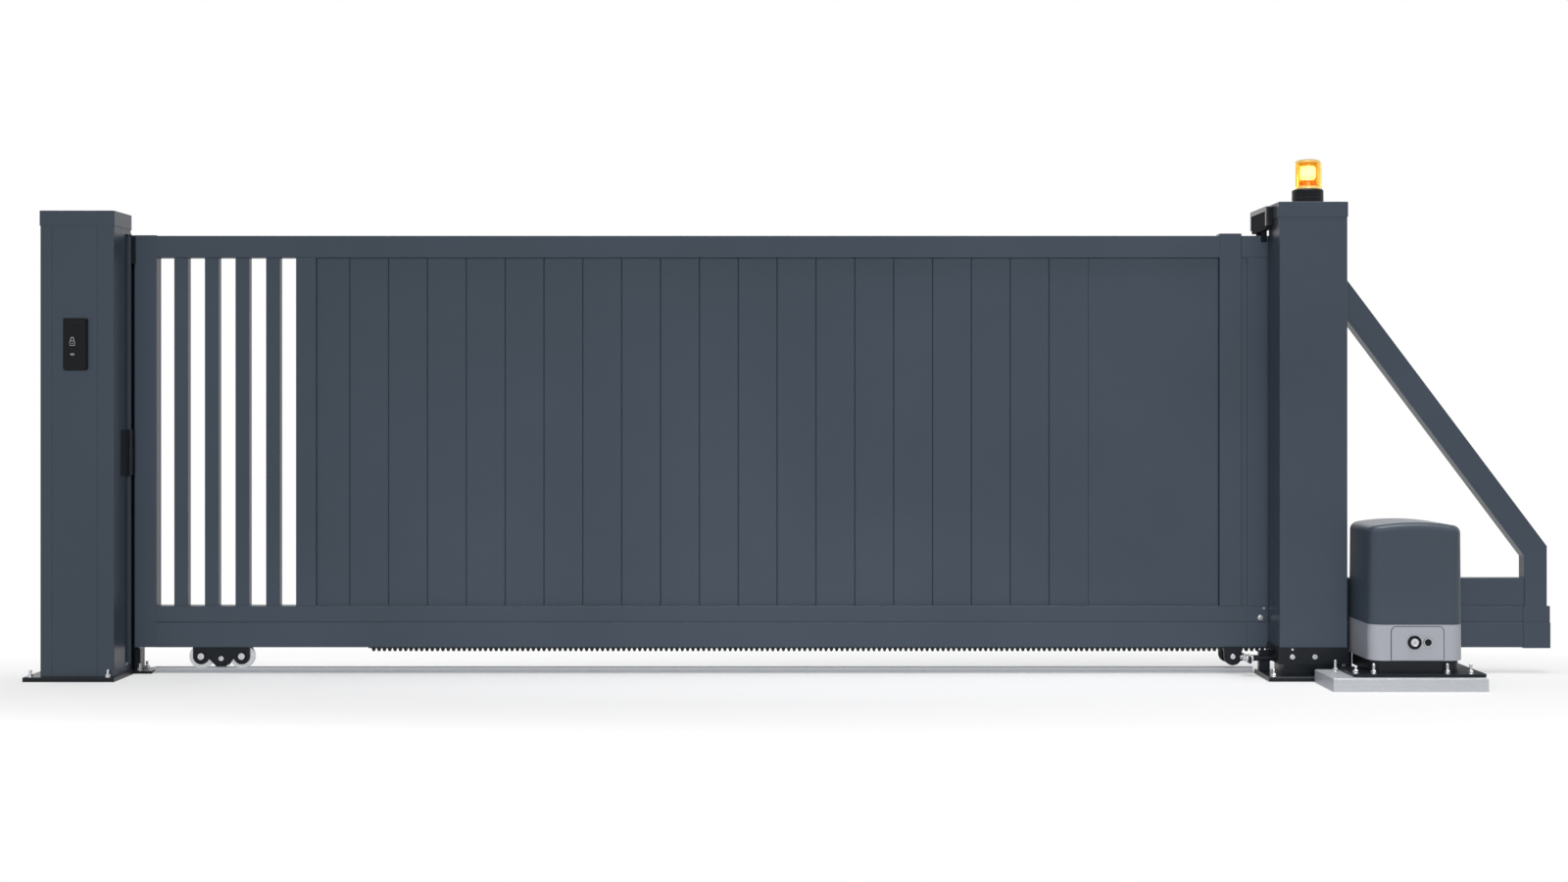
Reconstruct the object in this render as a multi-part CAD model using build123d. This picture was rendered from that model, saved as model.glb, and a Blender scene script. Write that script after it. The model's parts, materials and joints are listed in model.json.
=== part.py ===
from build123d import *
import math
import os

# Sliding gate with its posts and drive, in millimetres.
# X runs along the leaf towards the drive side, Y away from the street side, Z up.
# The origin is on the underside of the drive post's base plate, on the post's centre line.

# Posts
OPENING = 4020.0            # clear distance between the two posts
CATCH_W = 254.0             # catch post, along X
CATCH_D = 190.0             # catch post, along Y
DRIVE_W = 235.0
DRIVE_D = 165.0
POST_WALL = 4.0
POST_CORNER = 5.0
CATCH_TOP = 1620.0          # top of the catch post's cap
DRIVE_TOP = 1653.0
CAP_H = 52.0                # skirt height of a cap
CAP_WALL = 2.0
CAP_LID = 5.0
POST_GAP = 17.0             # from the back of a post to the front of the leaf
SEAT = 0.2                  # a sleeve's clearance round what it holds
SLOT_D = 64.0               # upright slot in the catch post's side, along Y
SLOT_FOOT = 20.0            # from the base plate to the slot
SEAM_W = 2.4                # folded seams on the front of the catch post
SEAM_DEPTH = 1.0
SEAM_LEFT = 41.0            # from the post's left edge
SEAM_RIGHT = 57.0

# Feet of the posts
PLATE_T = 16.0
CATCH_PLATE_LEFT = 50.0     # how far the plate runs past the post on each side
CATCH_PLATE_RIGHT = 10.0
CATCH_PLATE_FRONT = 30.0
DRIVE_PLATE_SIDE = 47.0
DRIVE_PLATE_FRONT = 45.0
DRIVE_PLATE_BACK = 15.0
ANCHOR_HOLE_R = 8.0
CATCH_BOLT_X = 266.0        # anchor spacing
CATCH_BOLT_Y = 200.0
DRIVE_BOLT_X = 290.0
DRIVE_BOLT_Y = 196.0
PEDESTAL_W = 200.0
PEDESTAL_D = 140.0
PEDESTAL_TOP = 59.0
COLLAR_H = 54.0
COLLAR_T = 4.0

# Leaf
LEAF_T = 60.0
LEAF_GAP = 6.0              # from the catch post's side to the leaf's leading edge
LEAF_BOTTOM = 92.0
LEAF_TOP = 1550.0
TUBE_WALL = 3.0
TUBE_CORNER = 3.0
STILE_W = 78.0
TOP_RAIL_H = 78.0
BEAM_H = 88.0
BEAM_T = 70.0
BEAM_WALL = 4.0
BOTTOM_RAIL_H = 58.0
PICKETS = 4
PICKET_W = 49.0
PICKET_T = 40.0
PICKET_BAY = 494.0
MULLION_W = 71.0
BOARDS = 20
BOARD_PITCH = 138.0
FIRST_BOARD_W = 116.0
BOARD_T = 24.0
JOINT_W = 5.0
JOINT_DEPTH = 3.5
PLAIN_PANEL_W = 464.0
REAR_STILE_RISE = 6.0       # how far the rear stile stands over the top rail
STRIP_W = 20.0
STRIP_T = 48.0

# Tail of the leaf
TAIL_W = 984.0              # from the tail stile to the end of the leaf
BRACE_W = 85.0
BRACE_ANGLE = 53.1          # from the horizontal
TAIL_POST_W = 80.0
TAIL_POST_TOP = 449.0
TAIL_BAR_H = 99.0
TAIL_BAR_T = 50.0
END_CAP_T = 10.0
END_CAP_RIM = 2.5           # how far the cap stands over the beam and the rail
END_CAP_LAP = 86.0          # how far it runs back over them
CUT_MARGIN = 10.0           # how far a cutting shape runs past what it cuts

# Rack and pinion
MODULE = 6.0
PINION_TEETH = 10
PRESSURE_ANGLE = 20.0
PINION_ADDENDUM = 6.0
RACK_ADDENDUM = 3.5
ROOT_CLEARANCE = 1.2
BACKLASH = 0.5
RACK_T = 18.0
RACK_BACK = 3.0             # solid back of the rack above its tooth roots
RACK_SETBACK = 1.0          # from the beam's front to the rack
RACK_END = 190.0            # how far the rack runs past the pinion at either limit
PINION_T = 22.0
PINION_SHAFT_R = 12.0
SHAFT_CLEARANCE = 0.05

# Travel and wheels
TRAVEL = 3400.0
RAIL_HEAD_W = 16.0
RAIL_TOP = 21.0
RAIL_BASE_W = 50.0
RAIL_BASE_T = 5.0
AXLE_R = 8.0
WHEEL_R = 43.0
WHEEL_T = 26.0
GROOVE_DEPTH = 6.0
ROLL_GAP = 0.3              # between a wheel and what it runs on
WHEEL_SIDE_GAP = 2.0
BOGIE_FROM_EDGE = 305.0     # from the leaf's leading edge to the middle of the bogie
BOGIE_WHEELBASE = 144.0
BOGIE_PLATE_T = 5.0
BOGIE_LOBE_R = 28.5
BOGIE_FOOT_W = 35.0         # the foot widens at 45 degrees above this
BOGIE_FOOT_Z = 23.0
BOGIE_SPACER_W = 30.0
BOGIE_SPACER_LIFT = 12.0
BEAM_POCKET_GAP = 1.5

# Fixed support carriage beside the drive post
CARRIAGE_FROM_POST = 127.0  # from the post's side to the roller's axle
ROLLER_R = 30.0
ROLLER_T = 38.0
ROLLER_AXLE_R = 10.0
CHEEK_R = 31.0
CHEEK_T = 8.0
CHEEK_GAP = 9.0             # from the beam's side to a cheek
ARM_H = 30.0
CROSSBAR_T = 8.0
CROSSBAR_FROM_POST = 86.0
TIE_R = 8.0
TIE_FRONT_Y = 20.0
TIE_BACK_Y = 59.0
CLAMP_W = 38.0              # upright that stands on the post's plate and clamps the ties
CLAMP_D = 16.0
CLAMP_TOP_GAP = 5.0         # from its top to the underside of the leaf

# Catch column behind the catch post
COLUMN_W = 80.0             # along X
COLUMN_WALL = 5.0
COLUMN_TOP = 1556.0
CHEEK_REACH = 6.0           # how far the receiver's cheeks pass the leaf's edge
RECEIVER_H = 100.0
RECEIVER_GAP = 5.0
RECEIVER_T = 6.0
FOOT_T = 10.0
FOOT_RUN = 66.0             # how far the foot runs under the leaf, up to the rail
FOOT_BACK = 20.0
LANDING_W = 20.0
LANDING_D = 50.0
LANDING_GAP = 6.0

# Lock keeper and reader on the catch post
KEEPER_Z = 784.0
KEEPER_H = 160.0
KEEPER_R = 13.0
KEEPER_PLATE_T = 4.0
KEEPER_PLATE_D = 112.0
KEEPER_INSET = 1.5          # from the barrel to the inside of the post's back wall
KEEPER_RIBS = 3
READER_W = 78.0
READER_H = 179.0
READER_T = 28.0
READER_Z = 1160.0
READER_CORNER = 6.0

# Top guide
PORTAL_SPAN = 250.0         # across the leaf, outside
PORTAL_W = 24.0             # along the leaf
PORTAL_T = 17.0
PORTAL_TOP = 1646.0
PORTAL_LEG_BOTTOM = 1578.0
PORTAL_CORNER = 4.0
BLOCK_INSET = 2.0           # from the portal's sides to the blocks'
BLOCK_BOTTOM = 1566.0
BLOCK_JOINT = 2.0           # between the front block and the rear one
PIN_R = 10.0                # round guide under each block, beside the top rail
PIN_GAP = 0.5
PIN_BOTTOM = 1528.0

# Flashing lamp
LAMP_BASE_R = 54.0
LAMP_BASE_H = 50.0
LENS_R = 48.0
LENS_H = 103.0
LENS_WALL = 3.0
LENS_CROWN = 18.0
HOLDER_R = 40.0
HOLDER_H = 10.0
STEM_R = 15.0
BULB_R = 26.0
BULB_H = 46.0
BULB_Z = 36.0                # from the lens's foot to the lit block

# Drive unit
SLAB_W = 514.0
SLAB_T = 44.0
SLAB_LEFT = -10.0           # from the post's centre line to the slab's left edge
SLAB_BACK_INSET = 2.0       # from the motor's back to the slab's
SLAB_FRONT = 298.0          # from the drive post's front to the slab's front edge
NOTCH_GAP = 8.0
BASE_PLATE_W = 444.0
BASE_PLATE_T = 10.0
BASE_PLATE_CORNER = 14.0
BASE_PLATE_INSET = 30.0     # from the slab's front edge to the plate's
PLINTH_INSET = 10.0         # from the housing's sides to the plinth's
PLINTH_H = 41.0
MOTOR_W = 316.0
MOTOR_D = 300.0
MOTOR_FROM_COLLAR = 9.0
MOTOR_FRONT_INSET = 38.0    # from the base plate's front to the motor's
MOTOR_CORNER = 46.0
BAND_H = 120.0
COVER_H = 342.0
COVER_TAPER = 0.5
COVER_CROWN = 16.0
COVER_TOP_FILLET = 26.0
COVER_STEP = 3.0            # shadow gap between the band and the cover
DOOR_W = 174.0
DOOR_H = 112.0
DOOR_T = 5.0
DOOR_CORNER = 16.0
DOOR_PROUD = 1.5
DOOR_GAP = 0.8
DOOR_LIFT = 1.5             # from the band's lower edge to the door's
LOCK_R = 23.0
LOCK_BORE_R = 15.0
LOCK_BORE = 3.0
LOCK_OUT = 7.0
LOCK_RISE = 60.0            # from the door's lower edge
LOCK_OFFSET = -11.0         # from the door's middle
BARREL_R = 15.0
BARREL_SPACING = 45.0
NOSE_D = 62.0               # offset gearcase behind the motor, along Y
NOSE_TOP_R = 46.0
NOSE_LOW_R = 38.0
NOSE_RISE = 96.0
SHAFT_DEPTH = 34.0

# Places worked out from the sizes above
leaf_y = DRIVE_D / 2 + POST_GAP + LEAF_T / 2
leaf_front = leaf_y - LEAF_T / 2
post_back = DRIVE_D / 2
drive_left = -DRIVE_W / 2
drive_right = DRIVE_W / 2
drive_front = -DRIVE_D / 2
catch_right = drive_left - OPENING
catch_x = catch_right - CATCH_W / 2
catch_y = post_back - CATCH_D / 2
leaf_x0 = catch_right + LEAF_GAP
bay_x0 = leaf_x0 + STILE_W
mullion_x0 = bay_x0 + PICKET_BAY
boards_x0 = mullion_x0 + MULLION_W
boards_x1 = boards_x0 + FIRST_BOARD_W + (BOARDS - 1) * BOARD_PITCH
rear_x0 = boards_x1 + PLAIN_PANEL_W
rear_x1 = rear_x0 + STILE_W
tail_x0 = rear_x1 + STRIP_W
tail_x1 = tail_x0 + STILE_W
leaf_x1 = tail_x1 + TAIL_W
beam_top = LEAF_BOTTOM + BEAM_H
infill_z0 = beam_top + BOTTOM_RAIL_H
infill_z1 = LEAF_TOP - TOP_RAIL_H
beam_front = leaf_y - BEAM_T / 2
brace_slope = math.tan(math.radians(BRACE_ANGLE))
brace_x0 = leaf_x1 - (LEAF_TOP - TAIL_POST_TOP) / brace_slope
brace_run = BRACE_W / math.sin(math.radians(BRACE_ANGLE))

tooth_pitch = math.pi * MODULE
pitch_r = MODULE * PINION_TEETH / 2
rack_dedendum = PINION_ADDENDUM + ROOT_CLEARANCE
pitch_z = LEAF_BOTTOM - RACK_BACK - rack_dedendum
pinion_z = pitch_z - pitch_r
motor_x0 = drive_right + SEAT + COLLAR_T + MOTOR_FROM_COLLAR
motor_x = motor_x0 + MOTOR_W / 2
rack_y = beam_front + RACK_SETBACK + RACK_T / 2

slab_front = drive_front - SLAB_FRONT
base_plate_front = slab_front + BASE_PLATE_INSET
motor_front = base_plate_front + MOTOR_FRONT_INSET
motor_back = motor_front + MOTOR_D
base_plate_top = SLAB_T + BASE_PLATE_T
band_z0 = base_plate_top + PLINTH_H
cover_z0 = band_z0 + BAND_H
foot_right = drive_right + DRIVE_PLATE_SIDE
foot_front = drive_front - DRIVE_PLATE_FRONT

wheel_z = RAIL_TOP + ROLL_GAP + WHEEL_R - GROOVE_DEPTH
bogie_x = leaf_x0 + BOGIE_FROM_EDGE
carriage_x = drive_left - CARRIAGE_FROM_POST
roller_z = LEAF_BOTTOM - ROLL_GAP - ROLLER_R
crossbar_x = drive_left - CROSSBAR_FROM_POST
portal_x1 = drive_left - SEAT - CAP_WALL
column_back = 2 * leaf_y - post_back
slot_y1 = post_back - POST_WALL
clamp_x1 = drive_left - SEAT - COLLAR_T
foot_x1 = leaf_x0 + FOOT_RUN


def block(x0, x1, y0, y1, z0, z1):
    """A rectangular block between two corners."""
    middle = Pos((x0 + x1) / 2, (y0 + y1) / 2, (z0 + z1) / 2)
    return middle * Box(x1 - x0, y1 - y0, z1 - z0)


def rod_y(x, z, radius, y0, y1):
    """A round rod along Y."""
    return Pos(x, (y0 + y1) / 2, z) * Rot(90, 0, 0) * Cylinder(radius, y1 - y0)


def rod_x(y, z, radius, x0, x1):
    """A round rod along X."""
    return Pos((x0 + x1) / 2, y, z) * Rot(0, 90, 0) * Cylinder(radius, x1 - x0)


def hollow(width, height, wall, corner):
    """The section of a drawn tube with rounded outer corners."""
    inside = Rectangle(width - 2 * wall, height - 2 * wall)
    return RectangleRounded(width, height, corner) - inside


def tube_x(x0, x1, y, z0, z1, depth, wall=TUBE_WALL, corner=TUBE_CORNER):
    """A rectangular tube along X, centred on y."""
    start = Plane(origin=(x0, y, (z0 + z1) / 2), x_dir=(0, 1, 0), z_dir=(1, 0, 0))
    return extrude(start * hollow(depth, z1 - z0, wall, corner), amount=x1 - x0)


def tube_z(x0, x1, y, z0, z1, depth, wall=TUBE_WALL, corner=TUBE_CORNER):
    """A rectangular tube along Z, centred on y."""
    start = Pos((x0 + x1) / 2, y, z0)
    return extrude(start * hollow(x1 - x0, depth, wall, corner), amount=z1 - z0)


def slice_y(points, y0, y1):
    """A flat outline in X and Z, given thickness along Y."""
    face = Plane.XZ.offset(-y1) * make_face(Polyline(*points, close=True))
    return extrude(face, amount=y1 - y0)


def post_cap(x, y, width, depth, top):
    """A lid with a skirt that slides over the top of a post."""
    fit_w = width + 2 * SEAT
    fit_d = depth + 2 * SEAT
    skirt = RectangleRounded(fit_w + 2 * CAP_WALL, fit_d + 2 * CAP_WALL, POST_CORNER)
    lid = extrude(Pos(x, y, top - CAP_H) * skirt, amount=CAP_H)
    lid = chamfer(lid.faces().sort_by(Axis.Z)[-1].edges(), 1.5)
    room = extrude(Pos(x, y, top - CAP_H) * Rectangle(fit_w, fit_d), amount=CAP_H - CAP_LID)
    return lid - room


def anchor_holes(x, y, spacing_x, spacing_y, z0, z1):
    """Four through holes on a rectangle."""
    holes = []
    for side in (-1, 1):
        for end in (-1, 1):
            place = Pos(x + side * spacing_x / 2, y + end * spacing_y / 2, (z0 + z1) / 2)
            holes.append(place * Cylinder(ANCHOR_HOLE_R, z1 - z0 + 2))
    return holes


# Catch side
def catch_post():
    """A tube with two seams down its front and an upright slot in the side towards the leaf."""
    left = catch_x - CATCH_W / 2
    front = catch_y - CATCH_D / 2
    top = CATCH_TOP - CAP_LID
    post = tube_z(left, catch_right, catch_y, PLATE_T, top, CATCH_D, POST_WALL, POST_CORNER)
    for x in (left + SEAM_LEFT, catch_right - SEAM_RIGHT):
        groove = Polyline((x - SEAM_W / 2, front), (x, front + SEAM_DEPTH), (x + SEAM_W / 2, front), close=True)
        post -= extrude(Pos(0, 0, PLATE_T) * make_face(groove), amount=top - PLATE_T)
    return post - block(catch_right - POST_WALL - 1, catch_right + 1, slot_y1 - SLOT_D, slot_y1,
                        PLATE_T + SLOT_FOOT, LEAF_TOP)


def catch_post_base():
    x0 = catch_x - CATCH_W / 2 - CATCH_PLATE_LEFT
    x1 = catch_right + CATCH_PLATE_RIGHT
    y0 = catch_y - CATCH_D / 2 - CATCH_PLATE_FRONT
    y1 = post_back
    plate = block(x0, x1, y0, y1, 0, PLATE_T)
    plate = chamfer(plate.faces().sort_by(Axis.Z)[-1].edges(), 2)
    holes = anchor_holes((x0 + x1) / 2, (y0 + y1) / 2, CATCH_BOLT_X, CATCH_BOLT_Y, 0, PLATE_T)
    return plate - holes


def catch_column():
    """A channel behind the post, open towards the leaf, with the receiver's cheeks at its top."""
    x1 = catch_right
    x0 = x1 - COLUMN_W
    y0 = post_back
    y1 = column_back
    body = block(x0, x1, y0, y1, FOOT_T, COLUMN_TOP)
    room = block(x0 + COLUMN_WALL, x1 + 1, y0 + COLUMN_WALL, y1 - COLUMN_WALL, FOOT_T - 1, COLUMN_TOP + 1)
    column = body - room
    inner = LEAF_T / 2 + RECEIVER_GAP
    for side in (-1, 1):
        near = leaf_y + side * inner
        far = leaf_y + side * (leaf_y - post_back)
        column += block(x1 - RECEIVER_T, leaf_x0 + CHEEK_REACH, min(near, far), max(near, far),
                        LEAF_TOP - RECEIVER_H, LEAF_TOP)
    return column


def catch_foot():
    """The column's foot plate, with the landing block that stands under the closed leaf."""
    x0 = catch_right - COLUMN_W
    plate = block(x0, foot_x1, post_back, column_back + FOOT_BACK, 0, FOOT_T)
    plate = chamfer(plate.faces().sort_by(Axis.Z)[-1].edges(), 1.5)
    landing = block(leaf_x0, leaf_x0 + LANDING_W, leaf_y - LANDING_D / 2, leaf_y + LANDING_D / 2,
                    FOOT_T - 0.5, LEAF_BOTTOM - LANDING_GAP)
    return plate + landing


def lock_keeper():
    """A plate over the post's slot, with an upright ribbed barrel set into it beside the leaf's edge."""
    z0 = KEEPER_Z - KEEPER_H / 2
    z1 = KEEPER_Z + KEEPER_H / 2
    barrel_y = slot_y1 - KEEPER_INSET - KEEPER_R
    plate = block(catch_right, catch_right + KEEPER_PLATE_T, post_back - KEEPER_PLATE_D, post_back, z0, z1)
    barrel_x = catch_right + 1
    barrel = Pos(barrel_x, barrel_y, KEEPER_Z) * Cylinder(KEEPER_R, KEEPER_H)
    for rib in range(KEEPER_RIBS):
        z = KEEPER_Z + KEEPER_H * (0.16 + 0.09 * rib)
        ring = Cylinder(KEEPER_R + 1, 3) - Cylinder(KEEPER_R - 2, 3)
        barrel -= Pos(barrel_x, barrel_y, z) * ring
    return plate + barrel


def access_reader():
    """A slim housing on the front of the catch post, with a groove across its upper end."""
    front = catch_y - CATCH_D / 2
    shape = RectangleRounded(READER_W, READER_H, READER_CORNER)
    face = Plane(origin=(catch_x, front, READER_Z), x_dir=(1, 0, 0), z_dir=(0, -1, 0))
    body = extrude(face * shape, amount=READER_T)
    body = chamfer(body.faces().sort_by(Axis.Y)[0].edges(), 2)
    groove_z = READER_Z + READER_H / 2 - 15
    groove = block(catch_x - READER_W / 2 + 6, catch_x + READER_W / 2 - 6,
                   front - READER_T - 1, front - READER_T + 2, groove_z - 1.5, groove_z + 1.5)
    return body - groove


# Drive side
def drive_post():
    return tube_z(drive_left, drive_right, 0, PEDESTAL_TOP, DRIVE_TOP - CAP_LID,
                  DRIVE_D, POST_WALL, POST_CORNER)


def drive_post_base():
    """Plate, pedestal and the collar that holds the foot of the post."""
    y0 = foot_front
    y1 = post_back + DRIVE_PLATE_BACK
    plate = block(-foot_right, foot_right, y0, y1, 0, PLATE_T)
    plate = chamfer(plate.faces().sort_by(Axis.Z)[-1].edges(), 2)
    pedestal = block(-PEDESTAL_W / 2, PEDESTAL_W / 2, -PEDESTAL_D / 2, PEDESTAL_D / 2,
                     PLATE_T - 1, PEDESTAL_TOP)
    fit_w = DRIVE_W + 2 * SEAT
    fit_d = DRIVE_D + 2 * SEAT
    shape = RectangleRounded(fit_w + 2 * COLLAR_T, fit_d + 2 * COLLAR_T, POST_CORNER)
    collar = extrude(Pos(0, 0, PEDESTAL_TOP - COLLAR_T) * shape, amount=COLLAR_H + COLLAR_T)
    socket = extrude(Pos(0, 0, PEDESTAL_TOP) * Rectangle(fit_w, fit_d), amount=COLLAR_H + 1)
    base = plate + pedestal + (collar - socket)
    return base - anchor_holes(0, (y0 + y1) / 2, DRIVE_BOLT_X, DRIVE_BOLT_Y, 0, PLATE_T)


def top_guide_portal():
    """A thick flat bar bent over the leaf, fixed to the side of the drive post's cap."""
    x1 = portal_x1
    x0 = x1 - PORTAL_W
    y0 = leaf_y - PORTAL_SPAN / 2
    y1 = leaf_y + PORTAL_SPAN / 2
    bar = block(x0, x1, y0, y1, PORTAL_LEG_BOTTOM, PORTAL_TOP)
    bar = fillet(bar.edges().filter_by(Axis.X).group_by(Axis.Z)[-1], PORTAL_CORNER)
    return bar - block(x0 - 1, x1 + 1, y0 + PORTAL_T, y1 - PORTAL_T, PORTAL_LEG_BOTTOM - 1, PORTAL_TOP - PORTAL_T)


def guide_block(side):
    """A nylon block that fills half of the portal, with a round guide under it beside the top rail."""
    x0 = portal_x1 - PORTAL_W + BLOCK_INSET
    x1 = portal_x1 - BLOCK_INSET
    near = leaf_y + side * BLOCK_JOINT / 2
    far = leaf_y + side * (PORTAL_SPAN / 2 - PORTAL_T)
    body = block(x0, x1, min(near, far), max(near, far), BLOCK_BOTTOM, PORTAL_TOP - PORTAL_T)
    y = leaf_y + side * (LEAF_T / 2 + PIN_GAP + PIN_R)
    height = BLOCK_BOTTOM - PIN_BOTTOM
    return body + Pos((x0 + x1) / 2, y, PIN_BOTTOM + (height + 1) / 2) * Cylinder(PIN_R, height + 1)


def beacon_base():
    body = Pos(0, 0, DRIVE_TOP + LAMP_BASE_H / 2) * Cylinder(LAMP_BASE_R, LAMP_BASE_H)
    return chamfer(body.faces().sort_by(Axis.Z)[-1].edges(), 5)


def beacon_lens():
    """A hollow dome with a rounded crown."""
    outer = Cylinder(LENS_R, LENS_H)
    outer = fillet(outer.faces().sort_by(Axis.Z)[-1].edges(), LENS_CROWN)
    inner = Pos(0, 0, -LENS_WALL) * Cylinder(LENS_R - LENS_WALL, LENS_H)
    inner = fillet(inner.faces().sort_by(Axis.Z)[-1].edges(), LENS_CROWN - LENS_WALL)
    return Pos(0, 0, DRIVE_TOP + LAMP_BASE_H + LENS_H / 2) * (outer - inner)


def beacon_lamp():
    """The lit block on a stem, over a round holder that stands on the lamp's base."""
    z0 = DRIVE_TOP + LAMP_BASE_H
    holder = Pos(0, 0, z0 + HOLDER_H / 2) * Cylinder(HOLDER_R, HOLDER_H)
    stem = Pos(0, 0, z0 + BULB_Z / 2) * Cylinder(STEM_R, BULB_Z)
    bulb = fillet(Cylinder(BULB_R, BULB_H).edges().filter_by(GeomType.CIRCLE), BULB_R * 0.25)
    return holder + stem + Pos(0, 0, z0 + BULB_Z + BULB_H / 2 - 1) * bulb


# Ground rail and fixed carriage
def ground_rail():
    """A round-headed rail on a flat base strip."""
    half = RAIL_HEAD_W / 2
    base = RAIL_BASE_W / 2
    shoulder = RAIL_TOP - half
    outline = [
        Line((-base, 0), (base, 0)),
        Line((base, 0), (base, RAIL_BASE_T)),
        Line((base, RAIL_BASE_T), (half, RAIL_BASE_T)),
        Line((half, RAIL_BASE_T), (half, shoulder)),
        ThreePointArc((half, shoulder), (0, RAIL_TOP), (-half, shoulder)),
        Line((-half, shoulder), (-half, RAIL_BASE_T)),
        Line((-half, RAIL_BASE_T), (-base, RAIL_BASE_T)),
        Line((-base, RAIL_BASE_T), (-base, 0)),
    ]
    x0 = foot_x1
    x1 = -foot_right
    start = Plane(origin=(x0, leaf_y, 0), x_dir=(0, 1, 0), z_dir=(1, 0, 0))
    return extrude(start * make_face(outline), amount=x1 - x0)


def carriage_frame():
    """Two cheeks, the axle between them, and the crossbar that two rods tie to the post's collar and clamp."""
    front = beam_front - CHEEK_GAP
    back = leaf_y + BEAM_T / 2 + CHEEK_GAP
    low = roller_z - ARM_H / 2
    high = roller_z + ARM_H / 2 - 8
    frame = rod_y(carriage_x, roller_z, ROLLER_AXLE_R, front - CHEEK_T, back + CHEEK_T)
    for y0 in (front - CHEEK_T, back):
        frame += rod_y(carriage_x, roller_z, CHEEK_R, y0, y0 + CHEEK_T)
        frame += block(carriage_x - CHEEK_R, carriage_x + CHEEK_R, y0, y0 + CHEEK_T, roller_z, LEAF_BOTTOM)
        frame += block(carriage_x, crossbar_x + CROSSBAR_T, y0, y0 + CHEEK_T, low, high)
    frame += block(crossbar_x, crossbar_x + CROSSBAR_T, 0, back + CHEEK_T, low, high)
    for y in (TIE_FRONT_Y, TIE_BACK_Y):
        frame += rod_x(y, roller_z, TIE_R, crossbar_x, clamp_x1)
    return frame + block(clamp_x1 - CLAMP_W, clamp_x1, TIE_BACK_Y - CLAMP_D, TIE_BACK_Y + CLAMP_D / 2,
                         PLATE_T, LEAF_BOTTOM - CLAMP_TOP_GAP)


def support_roller():
    y0 = leaf_y + BEAM_T / 2 - ROLLER_T - WHEEL_SIDE_GAP
    body = rod_y(carriage_x, roller_z, ROLLER_R, y0, y0 + ROLLER_T)
    body = chamfer(body.edges().filter_by(GeomType.CIRCLE), 2)
    return body - rod_y(carriage_x, roller_z, ROLLER_AXLE_R + SHAFT_CLEARANCE, y0 - 1, y0 + ROLLER_T + 1)


# Drive unit
def notched(x0, x1, y0, y1, z0, z1, gap):
    """A block whose back left corner is cut away round the foot of the drive post."""
    plate = block(x0, x1, y0, y1, z0, z1)
    return plate - block(x0 - 1, foot_right + gap, foot_front - gap, y1 + 1, z0 - 1, z1 + 1)


def motor_slab():
    slab = notched(SLAB_LEFT, SLAB_LEFT + SLAB_W, slab_front, motor_back - SLAB_BACK_INSET,
                   0, SLAB_T, NOTCH_GAP)
    return chamfer(slab.faces().sort_by(Axis.Z)[-1].edges(), 2)


def motor_base():
    """The black plate and the plinth that carries the gearbox."""
    x0 = motor_x - BASE_PLATE_W / 2
    plate = notched(x0, x0 + BASE_PLATE_W, base_plate_front, motor_back, SLAB_T, base_plate_top,
                    NOTCH_GAP)
    plate = fillet(plate.edges().filter_by(Axis.Z).group_by(Axis.Y)[0], BASE_PLATE_CORNER)
    shape = RectangleRounded(MOTOR_W - 2 * PLINTH_INSET, MOTOR_D - 2 * PLINTH_INSET,
                             MOTOR_CORNER - PLINTH_INSET)
    centre = Pos(motor_x, (motor_front + motor_back) / 2, base_plate_top - 1)
    return plate + extrude(centre * shape, amount=PLINTH_H + 1)


def door_shape():
    """The outline of the release door, with its two upper corners rounded."""
    half = DOOR_W / 2
    r = DOOR_CORNER
    outline = Polyline((-half, DOOR_H - r), (-half, 0), (half, 0), (half, DOOR_H - r))
    right = RadiusArc((half, DOOR_H - r), (half - r, DOOR_H), -r)
    top = Line((half - r, DOOR_H), (-half + r, DOOR_H))
    left = RadiusArc((-half + r, DOOR_H), (-half, DOOR_H - r), -r)
    return make_face([outline, right, top, left])


def door_solid(y0, y1, grow=0.0):
    shape = door_shape()
    if grow:
        shape = offset(shape, grow)
    face = Plane(origin=(motor_x, y1, band_z0 + DOOR_LIFT), x_dir=(1, 0, 0), z_dir=(0, -1, 0))
    return extrude(face * shape, amount=y1 - y0)


def motor_gearbox():
    """The cast lower housing, with a recess for the release door."""
    centre = Pos(motor_x, (motor_front + motor_back) / 2, band_z0)
    body = extrude(centre * RectangleRounded(MOTOR_W, MOTOR_D, MOTOR_CORNER), amount=BAND_H)
    depth = DOOR_T - DOOR_PROUD + DOOR_GAP
    return body - door_solid(motor_front - 1, motor_front + depth, DOOR_GAP)


def motor_cover():
    """The moulded hood: a slight taper, a crowned top and well rounded edges."""
    centre = Pos(motor_x, (motor_front + motor_back) / 2, cover_z0)
    inset = 2 * COVER_STEP
    shape = RectangleRounded(MOTOR_W, MOTOR_D, MOTOR_CORNER)
    neck = RectangleRounded(MOTOR_W - inset, MOTOR_D - inset, MOTOR_CORNER - COVER_STEP)
    body = extrude(centre * Pos(0, 0, COVER_STEP) * shape, amount=COVER_H - COVER_STEP, taper=COVER_TAPER)
    crown_r = ((MOTOR_W / 2) ** 2 + COVER_CROWN ** 2) / (2 * COVER_CROWN)
    crown_z = cover_z0 + COVER_H - crown_r
    body &= rod_y(motor_x, crown_z, crown_r, motor_front - 20, motor_back + 20)
    body = fillet(body.faces().sort_by(Axis.Z)[-1].edges(), COVER_TOP_FILLET)
    return body + extrude(centre * neck, amount=COVER_STEP + 1)


def release_door():
    return door_solid(motor_front - DOOR_PROUD, motor_front + DOOR_T - DOOR_PROUD)


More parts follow.
